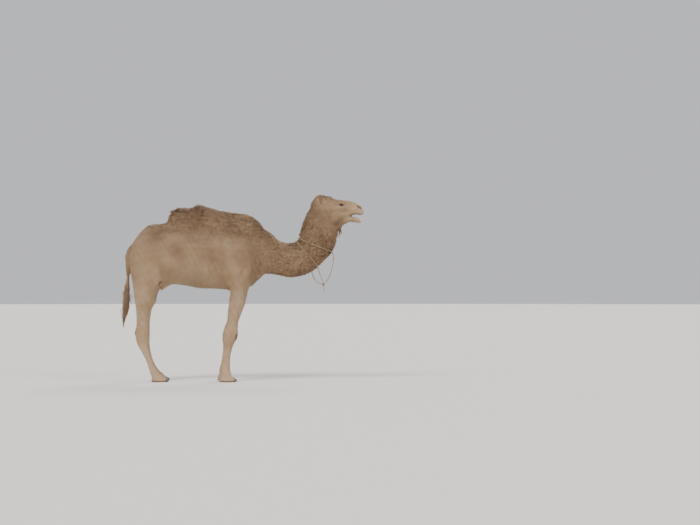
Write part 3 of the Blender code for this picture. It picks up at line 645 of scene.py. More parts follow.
# trunk, hump, skull, jaw and sheath: x, top, bottom, half width, top power, bottom power
# neck and tail: x, z, half depth, half width; legs: the same and the distance from the midline
bodyForm = {
    "trunk": [
        (-1.262, 1.480, 1.310, 0.050, 1.0, 1.0), (-1.240, 1.534, 1.215, 0.095, 1.1, 1.0),
        (-1.200, 1.612, 1.142, 0.145, 1.2, 1.0), (-1.130, 1.696, 1.095, 0.185, 1.3, 0.95),
        (-1.040, 1.756, 1.076, 0.215, 1.3, 0.9), (-0.930, 1.766, 1.082, 0.232, 1.25, 0.85),
        (-0.795, 1.780, 1.084, 0.276, 1.2, 0.8), (-0.650, 1.805, 1.066, 0.300, 1.2, 0.8),
        (-0.482, 1.835, 1.034, 0.306, 1.2, 0.8), (-0.314, 1.860, 1.030, 0.288, 1.25, 0.82),
        (-0.168, 1.882, 1.014, 0.254, 1.3, 0.85), (-0.034, 1.882, 1.004, 0.220, 1.3, 0.9),
        (0.070, 1.866, 1.034, 0.196, 1.25, 0.95), (0.157, 1.814, 1.112, 0.174, 1.15, 1.0),
        (0.224, 1.734, 1.176, 0.150, 1.0, 1.0), (0.285, 1.610, 1.250, 0.100, 1.0, 1.0),
    ],
    "hump": [
        (-0.838, 1.800, 1.660, 0.060, 1.0), (-0.806, 1.886, 1.600, 0.120, 1.1),
        (-0.752, 1.936, 1.560, 0.155, 1.2), (-0.670, 1.948, 1.530, 0.180, 1.25),
        (-0.570, 1.946, 1.520, 0.195, 1.3), (-0.480, 1.982, 1.520, 0.195, 1.35),
        (-0.400, 1.958, 1.540, 0.190, 1.3), (-0.300, 1.926, 1.580, 0.175, 1.25),
        (-0.180, 1.898, 1.640, 0.150, 1.2), (-0.060, 1.886, 1.720, 0.100, 1.1),
    ],
    "neck": [
        (0.078, 1.450, 0.315, 0.170), (0.205, 1.436, 0.262, 0.155), (0.325, 1.396, 0.206, 0.136),
        (0.431, 1.370, 0.190, 0.122), (0.546, 1.356, 0.197, 0.115), (0.655, 1.382, 0.194, 0.112),
        (0.752, 1.455, 0.192, 0.110), (0.822, 1.552, 0.206, 0.110), (0.852, 1.655, 0.213, 0.107),
        (0.873, 1.762, 0.203, 0.102), (0.886, 1.868, 0.172, 0.095), (0.898, 1.952, 0.140, 0.082),
    ],
    "skull": [
        (0.762, 2.004, 1.880, 0.040, 1.0, 1.0), (0.800, 2.056, 1.810, 0.066, 1.0, 1.0),
        (0.850, 2.082, 1.755, 0.080, 1.0, 1.0), (0.910, 2.087, 1.724, 0.086, 1.0, 1.0),
        (0.960, 2.074, 1.708, 0.088, 1.0, 1.0), (1.020, 2.046, 1.708, 0.088, 0.95, 1.0),
        (1.082, 2.030, 1.742, 0.083, 0.85, 1.0), (1.138, 2.024, 1.790, 0.069, 0.8, 0.95),
        (1.187, 2.016, 1.832, 0.059, 0.8, 0.9), (1.232, 2.004, 1.857, 0.054, 0.8, 0.85),
        (1.277, 1.987, 1.863, 0.052, 0.8, 0.8), (1.312, 1.962, 1.857, 0.047, 0.85, 0.8),
        (1.336, 1.934, 1.861, 0.036, 0.9, 0.9), (1.350, 1.905, 1.872, 0.016, 1.0, 1.0),
    ],
    "jaw": [
        (0.986, 1.880, 1.704, 0.060), (1.050, 1.868, 1.672, 0.066), (1.106, 1.858, 1.716, 0.060),
        (1.154, 1.852, 1.758, 0.051), (1.198, 1.847, 1.781, 0.045), (1.243, 1.838, 1.781, 0.041),
        (1.278, 1.828, 1.773, 0.036), (1.304, 1.808, 1.768, 0.026), (1.321, 1.790, 1.773, 0.011),
    ],
    "sheath": [
        (-0.800, 1.130, 1.075, 0.020), (-0.845, 1.140, 1.052, 0.036), (-0.885, 1.140, 1.024, 0.038),
        (-0.912, 1.110, 1.009, 0.028), (-0.926, 1.050, 1.012, 0.010),
    ],
    "foreLeg": [
        (-0.011, 1.333, 0.140, 0.060, 0.130), (-0.016, 1.187, 0.132, 0.074, 0.150),
        (-0.032, 1.064, 0.108, 0.074, 0.158), (-0.044, 0.978, 0.098, 0.069, 0.158),
        (-0.064, 0.882, 0.092, 0.062, 0.156), (-0.093, 0.767, 0.080, 0.055, 0.152),
        (-0.116, 0.664, 0.068, 0.050, 0.148), (-0.134, 0.585, 0.075, 0.054, 0.145),
        (-0.146, 0.515, 0.080, 0.059, 0.143), (-0.160, 0.447, 0.064, 0.054, 0.142),
        (-0.170, 0.379, 0.047, 0.043, 0.143), (-0.183, 0.298, 0.038, 0.036, 0.145),
        (-0.193, 0.206, 0.041, 0.036, 0.148), (-0.200, 0.138, 0.050, 0.045, 0.150),
        (-0.198, 0.085, 0.058, 0.056, 0.151), (-0.192, 0.040, 0.062, 0.060, 0.151),
    ],
    "hindLeg": [
        (-1.045, 1.590, 0.130, 0.070, 0.105), (-1.064, 1.411, 0.180, 0.092, 0.125),
        (-1.074, 1.266, 0.176, 0.100, 0.132), (-1.078, 1.142, 0.160, 0.096, 0.136),
        (-1.081, 1.030, 0.140, 0.086, 0.138), (-1.090, 0.920, 0.118, 0.075, 0.138),
        (-1.108, 0.822, 0.086, 0.063, 0.136), (-1.112, 0.712, 0.073, 0.054, 0.134),
        (-1.117, 0.603, 0.071, 0.050, 0.132), (-1.120, 0.525, 0.075, 0.050, 0.130),
        (-1.116, 0.450, 0.070, 0.049, 0.130), (-1.098, 0.386, 0.055, 0.045, 0.132),
        (-1.076, 0.322, 0.043, 0.038, 0.136), (-1.048, 0.246, 0.034, 0.034, 0.141),
        (-1.019, 0.170, 0.036, 0.034, 0.146), (-0.988, 0.106, 0.045, 0.044, 0.149),
        (-0.962, 0.062, 0.054, 0.052, 0.150), (-0.950, 0.035, 0.058, 0.056, 0.150),
    ],
    "tail": [
        (-1.200, 1.520, 0.048, 0.048), (-1.250, 1.484, 0.043, 0.042), (-1.281, 1.425, 0.036, 0.036),
        (-1.291, 1.335, 0.028, 0.030), (-1.288, 1.235, 0.023, 0.025), (-1.286, 1.150, 0.019, 0.020),
        (-1.292, 1.090, 0.026, 0.022), (-1.300, 1.030, 0.040, 0.028), (-1.306, 0.960, 0.048, 0.032),
        (-1.302, 0.890, 0.047, 0.032), (-1.303, 0.825, 0.044, 0.029), (-1.313, 0.760, 0.034, 0.025),
        (-1.327, 0.700, 0.025, 0.020), (-1.334, 0.650, 0.015, 0.014), (-1.342, 0.606, 0.006, 0.006),
    ],
    # rounded masses, made on both sides: centre, radii
    "brow": ((1.082, 0.066, 1.990), (0.058, 0.030, 0.032)),
    "cheek": ((1.015, 0.056, 1.830), (0.095, 0.040, 0.085)),
    "nostril": ((1.292, 0.032, 1.950), (0.034, 0.020, 0.024)),
    "shoulder": ((0.010, 0.150, 1.400), (0.165, 0.075, 0.280)),
    "hip": ((-0.990, 0.132, 1.595), (0.140, 0.070, 0.105)),
    "stifle": ((-0.985, 0.150, 1.110), (0.090, 0.070, 0.110)),
    # on the breastbone
    "chestPad": ((-0.075, 0.0, 1.045), (0.115, 0.085, 0.045)),
    # how far back the left leg stands and how far forward the right one, full under this height
    "foreStagger": 0.022,
    "hindStagger": 0.012,
    "staggerBelow": 0.25,
    # x, distance from the midline, half length and half width of a foot
    "foreFoot": (-0.180, 0.152, 0.096, 0.088),
    "hindFoot": (-0.925, 0.150, 0.093, 0.078),
    # heights of a foot, share of the sole's size, how far back; the lowest is cut off at the floor
    "footLevels": [
        (-0.014, 0.93, 0.0), (0.006, 0.99, 0.0), (0.022, 1.0, 0.001), (0.038, 0.91, 0.007),
        (0.054, 0.76, 0.014), (0.072, 0.62, 0.020), (0.094, 0.48, 0.026),
    ],
    "toeNotch": 0.16,
    "toeNotchWidth": 0.17,
}
earForm = {
    "base": (0.882, 0.058, 1.990), "length": 0.104, "halfWidth": 0.027, "widest": 0.48, "wall": 0.0085,
    "curl": 68, "leanBack": 16, "leanOut": 36, "turnOut": 35,
}


legs = [(pair, side) for pair in ("fore", "hind") for side in (1, -1)]


# the middle of a foot, its half length and its half width
def footPlan(pair, side):
    x, y, halfLength, halfWidth = bodyForm[pair + "Foot"]
    return x - side * bodyForm[pair + "Stagger"], side * y, halfLength, halfWidth


# the sole's oval with a notch in front for the cleft between the toes, swept up through the levels
def footForm(pair, side, count=72):
    x, y, halfLength, halfWidth = footPlan(pair, side)
    height, share, back = eased(bodyForm["footLevels"], 3).T[:, :, None]
    angle = np.linspace(-math.pi, math.pi, count, endpoint=False)[None]
    notch = 1 - bodyForm["toeNotch"] * bell(angle, bodyForm["toeNotchWidth"])
    forward = np.cos(angle) * halfLength * share * notch
    across = np.sin(angle) * halfWidth * share * notch
    return closedTube(np.stack([x - back + forward, y + across, height + 0 * angle], -1))


# a leg's table on one side; the stagger fades in from the elbow or stifle down
def legRows(pair, sign):
    rows = np.array(bodyForm[pair + "Leg"], float)
    top, low = rows[2, 1], bodyForm["staggerBelow"]
    rows[:, 0] -= sign * bodyForm[pair + "Stagger"] * np.clip((top - rows[:, 1]) / (top - low), 0, 1)
    rows[:, 4] *= sign
    return rows


# an ear as a curled leaf: at each height along it, an arc of wall whose width is a rounded leaf's
# half width there, cupped round the ear's own axis, then turned outwards and leant back and out
def earShape(sign, rows=26, across=17):
    plan = earForm
    along = np.sin(math.pi / 2 * np.linspace(0, 1, rows))[:, None]
    spread = np.sqrt(np.maximum(1 - ((along - plan["widest"]) / (1 - plan["widest"])) ** 2, 0.03))
    below = (plan["widest"] - along) / plan["widest"]
    spread = np.where(along < plan["widest"], 1 - 0.45 * below**2, spread)
    width = plan["halfWidth"] * spread
    radius = width / math.sin(math.radians(plan["curl"]))
    share = np.linspace(-1, 1, across)[None]
    wall = plan["wall"] * (1 - 0.35 * along) * (1 - 0.5 * np.abs(share) ** 3)
    faces = []
    for face in (1, -1):
        bend = share * math.radians(plan["curl"]) * face
        reach = radius + face * wall / 2
        back = (reach - radius) * np.cos(bend) + radius * (np.cos(bend) - 1)
        rise = along * plan["length"] + 0 * bend
        faces.append(np.stack([-back - 0.35 * width, reach * np.sin(bend), rise], -1))
    return closedTube(placedEar(np.concatenate(faces, 1), sign))


# from the ear's own axes to its place on the head
def placedEar(points, sign):
    plan = earForm
    turn, out = (math.radians(sign * plan[key]) for key in ("turnOut", "leanOut"))
    back = math.radians(plan["leanBack"])
    turned = turning(out, 1, 2) @ turning(-back, 0, 2) @ turning(-turn, 0, 1)
    return points @ turned.T + np.array(plan["base"]) * (1, sign, 1)


# both sides of a mass
def pairOf(name):
    (x, y, z), radii = bodyForm[name]
    return [ball((x, side * y, z), radii) for side in (1, -1)]


trunkParts = [levelSweep(bodyForm[k]) for k in ("trunk", "hump", "sheath")]
trunkParts += pairOf("shoulder") + pairOf("hip") + pairOf("stifle") + [ball(*bodyForm["chestPad"])]
neckPart = [pathSweep(bodyForm["neck"])]
headParts = [levelSweep(bodyForm["skull"]), levelSweep(bodyForm["jaw"])]
headParts += pairOf("brow") + pairOf("cheek") + pairOf("nostril")
legParts = [pathSweep(legRows(pair, side)) for pair, side in legs]
footParts = [footForm(pair, side) for pair, side in legs]
tailPart = [pathSweep([row for row in bodyForm["tail"] if row[1] > 1.02], 20)]

# Skin

skinPlan = {
    "bodyVoxel": 0.0145,
    "headVoxel": 0.0046,
    "legVoxel": 0.0086,
    "headCut": ((0.885, 0, 1.812), (0.68, 0, 0.733)),
    "legCut": ((0, 0, 0.64), (0, 0, -1)),
    "passes": 60,  # of softening
    "seamWidth": 0.05,
    "seamPasses": 50,
    "pollPasses": 40,
    "foldPasses": 16,  # over the seams again, once the skin lies at its depth
}


# a new mesh of the object with its modifiers; the object itself is removed
def applied(obj):
    bpy.context.view_layer.update()
    mesh = bpy.data.meshes.new_from_object(obj.evaluated_get(bpy.context.evaluated_depsgraph_get()))
    bpy.data.objects.remove(obj)
    return mesh


# the parts fused into one closed surface by voxels of this size, and softened
def fused(parts, voxel):
    obj = linked("fusing", meshFrom("fusing", *joined(parts)))
    remesh = obj.modifiers.new("fuse", "REMESH")
    remesh.mode, remesh.voxel_size = "VOXEL", voxel
    mesh = applied(obj)
    points = pointsOf(mesh)
    setPoints(mesh, relaxed(mesh, points, softness(points), skinPlan["passes"]))
    return mesh


# each pass moves every point part of the way to the middle of its neighbours: half of it times a
# weight. Where kept is set, a slightly longer step back follows, so that the form doesn't shrink.
def relaxed(mesh, points, weight, passes, kept=False):
    one, two = rowsOf(mesh.edges, "vertices", 2, np.int32).T
    size = len(points)
    degree = np.maximum(np.bincount(one, minlength=size) + np.bincount(two, minlength=size), 1)[:, None]
    for share in (0.5, -0.53)[: 1 + kept] * passes:
        fromTwo = np.stack([np.bincount(one, points[two, k], size) for k in range(3)], -1)
        fromOne = np.stack([np.bincount(two, points[one, k], size) for k in range(3)], -1)
        points = points + share * weight[:, None] * ((fromTwo + fromOne) / degree - points)
    return points


# how much a place is softened: most round the rounded masses, least on the legs, muzzle and ears
def softness(points):
    soft = np.full(len(points), 0.35)
    soft = np.where(points[:, 2] < 1.0, 0.10, soft)
    soft = np.where((points[:, 0] < -1.25) & (points[:, 2] < 1.42), 0.04, soft)
    soft = np.where((points[:, 0] > 0.2) & (points[:, 2] > 1.0), 0.2, soft)
    sheath = ramp(awayFrom(points, (-0.92, 0, 1.02), (-0.84, 0, 1.06)), 0.075, 0.050)
    mirrored = onLeft(points)
    for name in ("brow", "cheek", "shoulder", "hip", "stifle", "chestPad"):
        (x, y, z), radii = bodyForm[name]
        reach = np.linalg.norm((mirrored - (x, y, z)) / radii, axis=1)
        soft = np.maximum(soft, ramp(reach, 2.1, 1.3))
    muzzle = ramp(points[:, 0], 1.16, 1.22)
    isEar = ramp(awayFrom(mirrored, (0.88, 0.075, 2.03), (0.84, 0.12, 2.10)), 0.045, 0.03)
    return soft * (1 - 0.85 * muzzle) * (1 - 0.93 * isEar) * (1 - 0.90 * sheath)


# the mesh with another closed form grown onto it
def grownOnto(mesh, form):
    obj, tool = linked("grown", mesh), linked("growing", meshFrom("form", *form))
    union = obj.modifiers.new("union", "BOOLEAN")
    union.operation, union.object, union.solver = "UNION", tool, "EXACT"
    result = applied(obj)
    bpy.data.objects.remove(tool)
    return result


# cuts away what is ahead of a plane, or behind it, and leaves the cut open
def trim(shape, plane, keepAhead):
    bmesh.ops.bisect_plane(
        shape, geom=shape.verts[:] + shape.edges[:] + shape.faces[:], dist=1e-5,
        plane_co=Vector(plane[0]), plane_no=Vector(plane[1]),
        clear_inner=keepAhead, clear_outer=not keepAhead,
    )


# the closed loops of open edges, each as its vertices in order
def openLoops(shape):
    edges = dict.fromkeys(edge for edge in shape.edges if edge.is_boundary)  # keeps their order
    loops = []
    while edges:
        edge = next(iter(edges))
        del edges[edge]
        loop = [edge.verts[0], edge.verts[1]]
        while True:
            following = next((each for each in loop[-1].link_edges if each in edges), None)
            if following is None:
                break
            del edges[following]
            other = following.other_vert(loop[-1])
            if other is loop[0]:
                break
            loop.append(other)
        loops.append(loop)
    return loops


# sews the loops of the coarse mesh to those of the fine one that was put in after it, each to the
# nearest, by walking round both and taking the step that keeps the two places in line
def sew(shape, coarseLoops, fineLoops):
    for coarse in coarseLoops:
        middle = middleOf(coarse)
        fine = min(fineLoops, key=lambda loop: (middleOf(loop) - middle).length)
        if turnOf(coarse, middle) * turnOf(fine, middle) < 0:
            fine = fine[::-1]
        first = min(range(len(fine)), key=lambda k: (fine[k].co - coarse[0].co).length)
        fine = fine[first:] + fine[:first]
        one, two = [coarse + coarse[:1], placesRound(coarse)], [fine + fine[:1], placesRound(fine)]
        i = j = 0
        while i < len(coarse) or j < len(fine):
            if j >= len(fine) or (i < len(coarse) and one[1][i + 1] <= two[1][j + 1]):
                shape.faces.new((one[0][i], one[0][i + 1], two[0][j]))
                i += 1
            else:
                shape.faces.new((one[0][i], two[0][j + 1], two[0][j]))
                j += 1


def middleOf(loop):
    return sum((vert.co for vert in loop), Vector()) / len(loop)


# the area vector's largest part, whose sign tells which way a loop runs
def turnOf(loop, middle):
    area = sum(((a.co - middle).cross(b.co - middle) for a, b in zip(loop, loop[1:] + loop[:1])), Vector())
    return max(area, key=abs)


# how far round the loop each of its places is, from 0 to 1
def placesRound(loop):
    reach = [0.0]
    for a, b in zip(loop, loop[1:] + loop[:1]):
        reach.append(reach[-1] + (b.co - a.co).length)
    return [r / reach[-1] for r in reach]


body = bmesh.new()
bodyParts = trunkParts + neckPart + headParts + legParts + footParts + tailPart
body.from_mesh(fused(bodyParts, skinPlan["bodyVoxel"]))
upperNeck = [pathSweep(bodyForm["neck"][7:])]
lowerLegs = [pathSweep(legRows(pair, side)[6:]) for pair, side in legs]
for plane, parts, voxel, grown in (
    (skinPlan["headCut"], upperNeck + headParts, skinPlan["headVoxel"], [earShape(1), earShape(-1)]),
    (skinPlan["legCut"], lowerLegs + footParts, skinPlan["legVoxel"], []),
):
    trim(body, plane, False)
    coarseLoops = openLoops(body)
    mesh = fused(parts, voxel)
    for form in grown:
        mesh = grownOnto(mesh, form)
    fine = bmesh.new()
    fine.from_mesh(mesh)
    trim(fine, plane, True)
    mesh = bpy.data.meshes.new("fine")
    fine.to_mesh(mesh)
    fine.free()
    body.from_mesh(mesh)
    known = {vert for loop in coarseLoops for vert in loop}
    sew(body, coarseLoops, [loop for loop in openLoops(body) if loop[0] not in known])
bmesh.ops.recalc_face_normals(body, faces=body.faces)
print("skin sewn:", len(body.verts), "points", sum(edge.is_boundary for edge in body.edges), "open edges")

# Face

# an eye: the ball's centre on the left, its radius, the way it looks, and the opening of its lids
eyePlan = {
    "centre": (1.094, 0.0755, 1.9655),
    "radius": 0.0215,
    "cornea": 0.0011,  # how far it bulges
    "looks": (0.30, 0.95, 0.02),
    "forward": (0.95, -0.30, -0.16),
    "halfWidth": 0.0195,
    "upperHeight": 0.0122,
    "lowerHeight": 0.0090,
    "corner": 1.65,  # power of the almond; 2 is an oval, less is more pointed
    "lidThick": 0.0018,
    "foldDepth": 0.0016,  # of the upper lid's fold
    "lowerSwell": 0.0008,  # of the lower lid
    "behind": 0.0012,  # how far behind the eye's surface the skin drops, and how much more at its middle
    "behindMore": 0.004,
    # shares of the opening: those from rimFrom to 1 go to rimInner, those up to rimTo go to 1, and from
    # blendFrom to blendTo the lid eases into the face, the last of it beyond farFrom
    "rimFrom": 0.88,
    "rimInner": 0.97,
    "rimTo": 1.11,
    "blendFrom": 1.35,
    "farFrom": 1.8,
    "blendTo": 2.7,
}
# a nostril: the two ends of its slit on the left, half width, depth and the height of its rim
nostrilPlan = {
    "back": (1.278, 0.050, 1.957), "front": (1.314, 0.038, 1.930), "facing": (0.42, 0.86, 0.28),
    "halfWidth": 0.0034, "depth": 0.015, "rim": 0.0028,
}


# splits the faces round each place into finer ones, twice or once
def refine(shape, places):
    for centre, radius, times in places:
        for _ in range(times):
            near = [f for f in shape.faces if (f.calc_center_median() - Vector(centre)).length < radius]
            edges = list(dict.fromkeys(e for f in near for e in f.edges))
            bmesh.ops.subdivide_edges(shape, edges=edges, cuts=1, use_grid_fill=True)


finePlaces = []
for side in (1, -1):
    x, y, z = eyePlan["centre"]
    finePlaces.append(((x, side * (y + 0.01), z), 0.036, 2))
    x, y, z = nostrilPlan["front"]
    finePlaces.append(((x - 0.018, side * y, z + 0.013), 0.030, 2))
refine(body, finePlaces)
bmesh.ops.triangulate(body, faces=[face for face in body.faces if len(face.verts) > 4])
skinMesh = bpy.data.meshes.new("skin")
body.to_mesh(skinMesh)
body.free()

# The seams of the sewing are smoothed away, and the refined places with them.
outer = pointsOf(skinMesh)
seamWeights = []
for plane in (skinPlan["headCut"], skinPlan["legCut"]):
    normal = unit(np.array(plane[1], float))
    near = np.abs((outer - np.array(plane[0])) @ normal)
    seamWeights.append(ramp(near, skinPlan["seamWidth"], 0.3 * skinPlan["seamWidth"]))


# the neck is broad enough for plain softening; the legs keep their thickness
def seamsRelaxed(points, passes):
    points = relaxed(skinMesh, points, seamWeights[0], passes)
    points = relaxed(skinMesh, points, seamWeights[1], passes // 8)
    return relaxed(skinMesh, points, seamWeights[1], passes, kept=True)


outer = seamsRelaxed(outer, skinPlan["seamPasses"])
weight = np.zeros(len(outer))
for centre, radius, _ in finePlaces:
    away = np.linalg.norm(outer - np.array(centre), axis=1)
    weight = np.maximum(weight, 0.8 * ramp(away, radius + 0.01, radius - 0.006))
outer = relaxed(skinMesh, outer, weight, skinPlan["seamPasses"])
setPoints(skinMesh, outer)
outward = normalsOf(skinMesh)
print("skin mesh:", sum(len(p.vertices) - 2 for p in skinMesh.polygons), "triangles")

# Coat

# At each place on the left side: the place, the way the hair lies, the coat's depth, the hair's length
# and width in millimetres, its colour from 0 pale over 1 sand to 2 brown, and how woolly it is.
coatPlan = {
    "noseTop": ((1.30, 0.0, 1.975), (-1, 0, 0.1), 1.2, 7, 1.6, 0.75, 0),
    "muzzleSide": ((1.26, 0.052, 1.915), (-0.9, 0, -0.3), 1.2, 7, 1.6, 0.65, 0),
    "upperLip": ((1.335, 0.02, 1.885), (-0.2, 0.3, -1), 1.2, 6, 1.4, 0.5, 0),
    "lowerLip": ((1.30, 0.02, 1.79), (-0.5, 0, -0.8), 1.2, 8, 1.4, 0.45, 0),
    "chin": ((1.20, 0.02, 1.785), (-0.8, 0, -0.5), 1.9, 12, 1.7, 0.6, 0),
    "bridge": ((1.19, 0.0, 2.015), (-1, 0, 0), 1.6, 9, 1.7, 1.0, 0),
    "cheekFront": ((1.15, 0.062, 1.90), (-1, 0, -0.3), 1.9, 10, 1.8, 0.8, 0),
    "cheek": ((1.03, 0.092, 1.83), (-0.8, 0, -0.6), 3.1, 15, 2.2, 0.95, 0),
    "jawEdge": ((1.06, 0.05, 1.70), (-0.5, 0, -0.85), 6.4, 24, 2.3, 1.2, 0.3),
    "underEye": ((1.10, 0.08, 1.93), (-1, 0, -0.25), 1.6, 8, 1.7, 0.8, 0),
    "forehead": ((1.01, 0.0, 2.05), (-1, 0, 0.2), 4.8, 19, 2.3, 1.2, 0.2),
    "browTop": ((1.08, 0.06, 2.01), (-0.8, 0.3, 0.3), 1.9, 12, 1.8, 1.15, 0),
    "crown": ((0.90, 0.0, 2.087), (-1, 0, 0.1), 18, 42, 5.1, 1.7, 1),
    "temple": ((0.98, 0.085, 1.98), (-1, 0, -0.25), 3.2, 14, 2.2, 1.05, 0.1),
    "ear": ((0.855, 0.11, 2.08), (-0.2, 0.4, 1), 1.2, 9, 1.6, 1.1, 0),
    "earRoot": ((0.875, 0.085, 2.02), (-0.3, 0.4, 0.8), 2, 12, 1.9, 1.2, 0.1),
    "poll": ((0.78, 0.0, 1.99), (-0.7, 0, -0.7), 22, 48, 6.8, 1.8, 1),
    "jowl": ((0.96, 0.09, 1.86), (-0.7, 0, -0.75), 6.4, 22, 2.9, 1.15, 0.3),
    "napeHigh": ((0.68, 0.0, 1.80), (-0.2, 0, -1), 25, 55, 7.6, 1.85, 1),
    "napeLow": ((0.61, 0.0, 1.60), (-0.5, 0, -0.85), 24, 50, 7.6, 1.8, 1),
    "neckTop": ((0.43, 0.0, 1.56), (-1, 0, 0.1), 20, 45, 6.8, 1.6, 0.9),
    "throatHigh": ((1.07, 0.0, 1.76), (-0.15, 0, -1), 26, 62, 7.6, 1.75, 1),
    "throatMid": ((1.05, 0.0, 1.58), (-0.2, 0, -1), 26, 58, 7.6, 1.7, 1),
    "throatLow": ((0.90, 0.0, 1.30), (-0.7, 0, -0.75), 24, 55, 7.6, 1.6, 1),
    "neckUnder": ((0.63, 0.0, 1.18), (-1, 0, -0.35), 20, 48, 6.8, 1.45, 0.9),
    "neckSideHigh": ((0.87, 0.10, 1.76), (-0.3, 0, -1), 17, 40, 6.8, 1.45, 0.9),
    "neckSideMid": ((0.81, 0.11, 1.53), (-0.6, 0, -0.8), 17, 40, 6.8, 1.4, 0.9),
    "neckSideLow": ((0.55, 0.115, 1.36), (-1, 0, -0.3), 16, 38, 6.8, 1.3, 0.8),
    "neckBase": ((0.27, 0.15, 1.42), (-0.9, 0, -0.5), 10.8, 32, 5, 1.2, 0.5),
    "chestFront": ((0.21, 0.0, 1.17), (-0.5, 0, -0.9), 10.8, 34, 5, 1.1, 0.5),
    "withers": ((-0.03, 0.0, 1.88), (-1, 0.1, 0), 17, 38, 6.8, 1.6, 0.9),
    "shoulderTop": ((-0.02, 0.17, 1.75), (-0.7, 0, -0.7), 14, 32, 6, 1.4, 0.7),
    "shoulder": ((0.01, 0.22, 1.48), (-0.5, 0, -0.85), 6.7, 26, 4.3, 1.1, 0.15),
    "upperArm": ((-0.02, 0.22, 1.22), (-0.35, 0, -0.95), 5, 22, 4, 0.95, 0),
    "ribsFront": ((-0.25, 0.27, 1.45), (-0.8, 0, -0.6), 6.2, 26, 4.3, 1.05, 0),
    "ribs": ((-0.45, 0.305, 1.42), (-0.9, 0, -0.45), 6.2, 27, 4.3, 1.0, 0),
    "ribsHigh": ((-0.45, 0.26, 1.66), (-0.8, 0, -0.6), 9.6, 32, 4.7, 1.25, 0.4),
    "flankHigh": ((-0.72, 0.27, 1.60), (-0.85, 0, -0.5), 7.2, 27, 4.3, 1.1, 0.1),
    "ribsLow": ((-0.45, 0.24, 1.16), (-0.95, 0, -0.3), 5, 24, 4, 0.75, 0),
    "belly": ((-0.45, 0.0, 1.035), (-1, 0, 0), 5, 24, 4, 0.45, 0),
    "breastbone": ((-0.02, 0.0, 1.0), (-1, 0, 0), 2.5, 12, 2.9, 0.7, 0),
    "flankFold": ((-0.84, 0.24, 1.20), (-0.5, 0, -0.87), 4.3, 22, 3.6, 0.75, 0),
    "loin": ((-0.92, 0.04, 1.77), (-1, 0.1, 0), 13, 32, 6, 1.45, 0.6),
    "rump": ((-1.10, 0.13, 1.68), (-0.8, 0, -0.6), 6.8, 28, 4.3, 1.2, 0.2),
    "buttock": ((-1.24, 0.08, 1.45), (-0.2, 0, -1), 5.2, 24, 4, 1.0, 0.1),
    "thigh": ((-1.08, 0.23, 1.30), (-0.3, 0, -0.95), 5, 24, 4, 0.95, 0),
    "thighFront": ((-0.93, 0.21, 1.13), (-0.3, 0, -0.95), 4.3, 20, 3.6, 0.85, 0),
    "thighInner": ((-1.05, 0.05, 1.10), (-0.2, 0, -1), 3.1, 14, 3.2, 0.3, 0),
    "humpCrest": ((-0.50, 0.0, 1.98), (-0.6, 0.6, -0.2), 28, 62, 8.5, 1.95, 1),
    "humpSide": ((-0.50, 0.18, 1.86), (-0.5, 0, -0.9), 22, 52, 7.6, 1.8, 1),
    "humpFront": ((-0.20, 0.0, 1.90), (-0.95, 0.2, 0), 20, 45, 7.6, 1.75, 1),
    "humpRear": ((-0.80, 0.0, 1.90), (-0.35, 0.2, -0.9), 27, 58, 8.5, 1.9, 1),
    "humpRearSide": ((-0.76, 0.16, 1.82), (-0.5, 0, -0.9), 20, 45, 7.6, 1.6, 0.9),
    "elbow": ((-0.14, 0.17, 1.02), (-0.4, 0, -0.9), 5.2, 26, 3.6, 1.0, 0.1),
    "forearm": ((-0.05, 0.21, 0.88), (0, 0, -1), 3.1, 16, 3.2, 0.75, 0),
    "forearmInner": ((-0.06, 0.10, 0.85), (0, 0, -1), 2.5, 14, 3.2, 0.3, 0),
    "forearmBack": ((-0.17, 0.155, 0.80), (-0.2, 0, -1), 3.7, 20, 3.2, 0.7, 0),
    "knee": ((-0.08, 0.145, 0.52), (0, 0, -1), 1.9, 9, 2.5, 0.9, 0),
    "kneeBack": ((-0.22, 0.143, 0.50), (-0.1, 0, -1), 2.5, 14, 2.9, 0.5, 0),
    "foreCannon": ((-0.18, 0.145, 0.30), (0, 0, -1), 1.9, 10, 2.5, 0.45, 0),
    "foreFetlock": ((-0.20, 0.150, 0.13), (0, 0, -1), 1.9, 10, 2.3, 0.5, 0),
    "foreFoot": ((-0.16, 0.150, 0.06), (0.4, 0, -0.9), 1.2, 8, 2.2, 0.6, 0),
    "gaskin": ((-1.10, 0.21, 0.82), (0, 0, -1), 3.1, 15, 3.2, 0.8, 0),
    "gaskinInner": ((-1.10, 0.07, 0.80), (0, 0, -1), 2.5, 13, 3.2, 0.3, 0),
    "hock": ((-1.15, 0.130, 0.52), (0, 0, -1), 2.2, 10, 2.5, 0.8, 0),
    "hindCannon": ((-1.08, 0.137, 0.32), (0, 0, -1), 1.9, 10, 2.5, 0.45, 0),
    "hindFetlock": ((-0.99, 0.148, 0.11), (0.1, 0, -1), 1.9, 10, 2.3, 0.5, 0),
    "hindFoot": ((-0.91, 0.150, 0.06), (0.4, 0, -0.9), 1.2, 8, 2.2, 0.6, 0),
    "tailRoot": ((-1.25, 0.03, 1.50), (-0.5, 0, -0.85), 5.4, 24, 4, 1.2, 0.2),
    "dock": ((-1.30, 0.0, 1.30), (0, 0.1, -1), 2, 26, 2.9, 1.3, 0.1),
    "dockLow": ((-1.288, 0.0, 1.16), (0, 0.1, -1), 1.2, 34, 2.9, 1.45, 0.2),
    "sheath": ((-0.88, 0.0, 1.03), (-0.6, 0, -0.6), 2.5, 14, 2.9, 0.6, 0),
}
coatPlaces = np.array([row[0] for row in coatPlan.values()], float)
coatLies = np.array([row[1] for row in coatPlan.values()], float)
coatValues = np.array([row[2:] for row in coatPlan.values()], float)


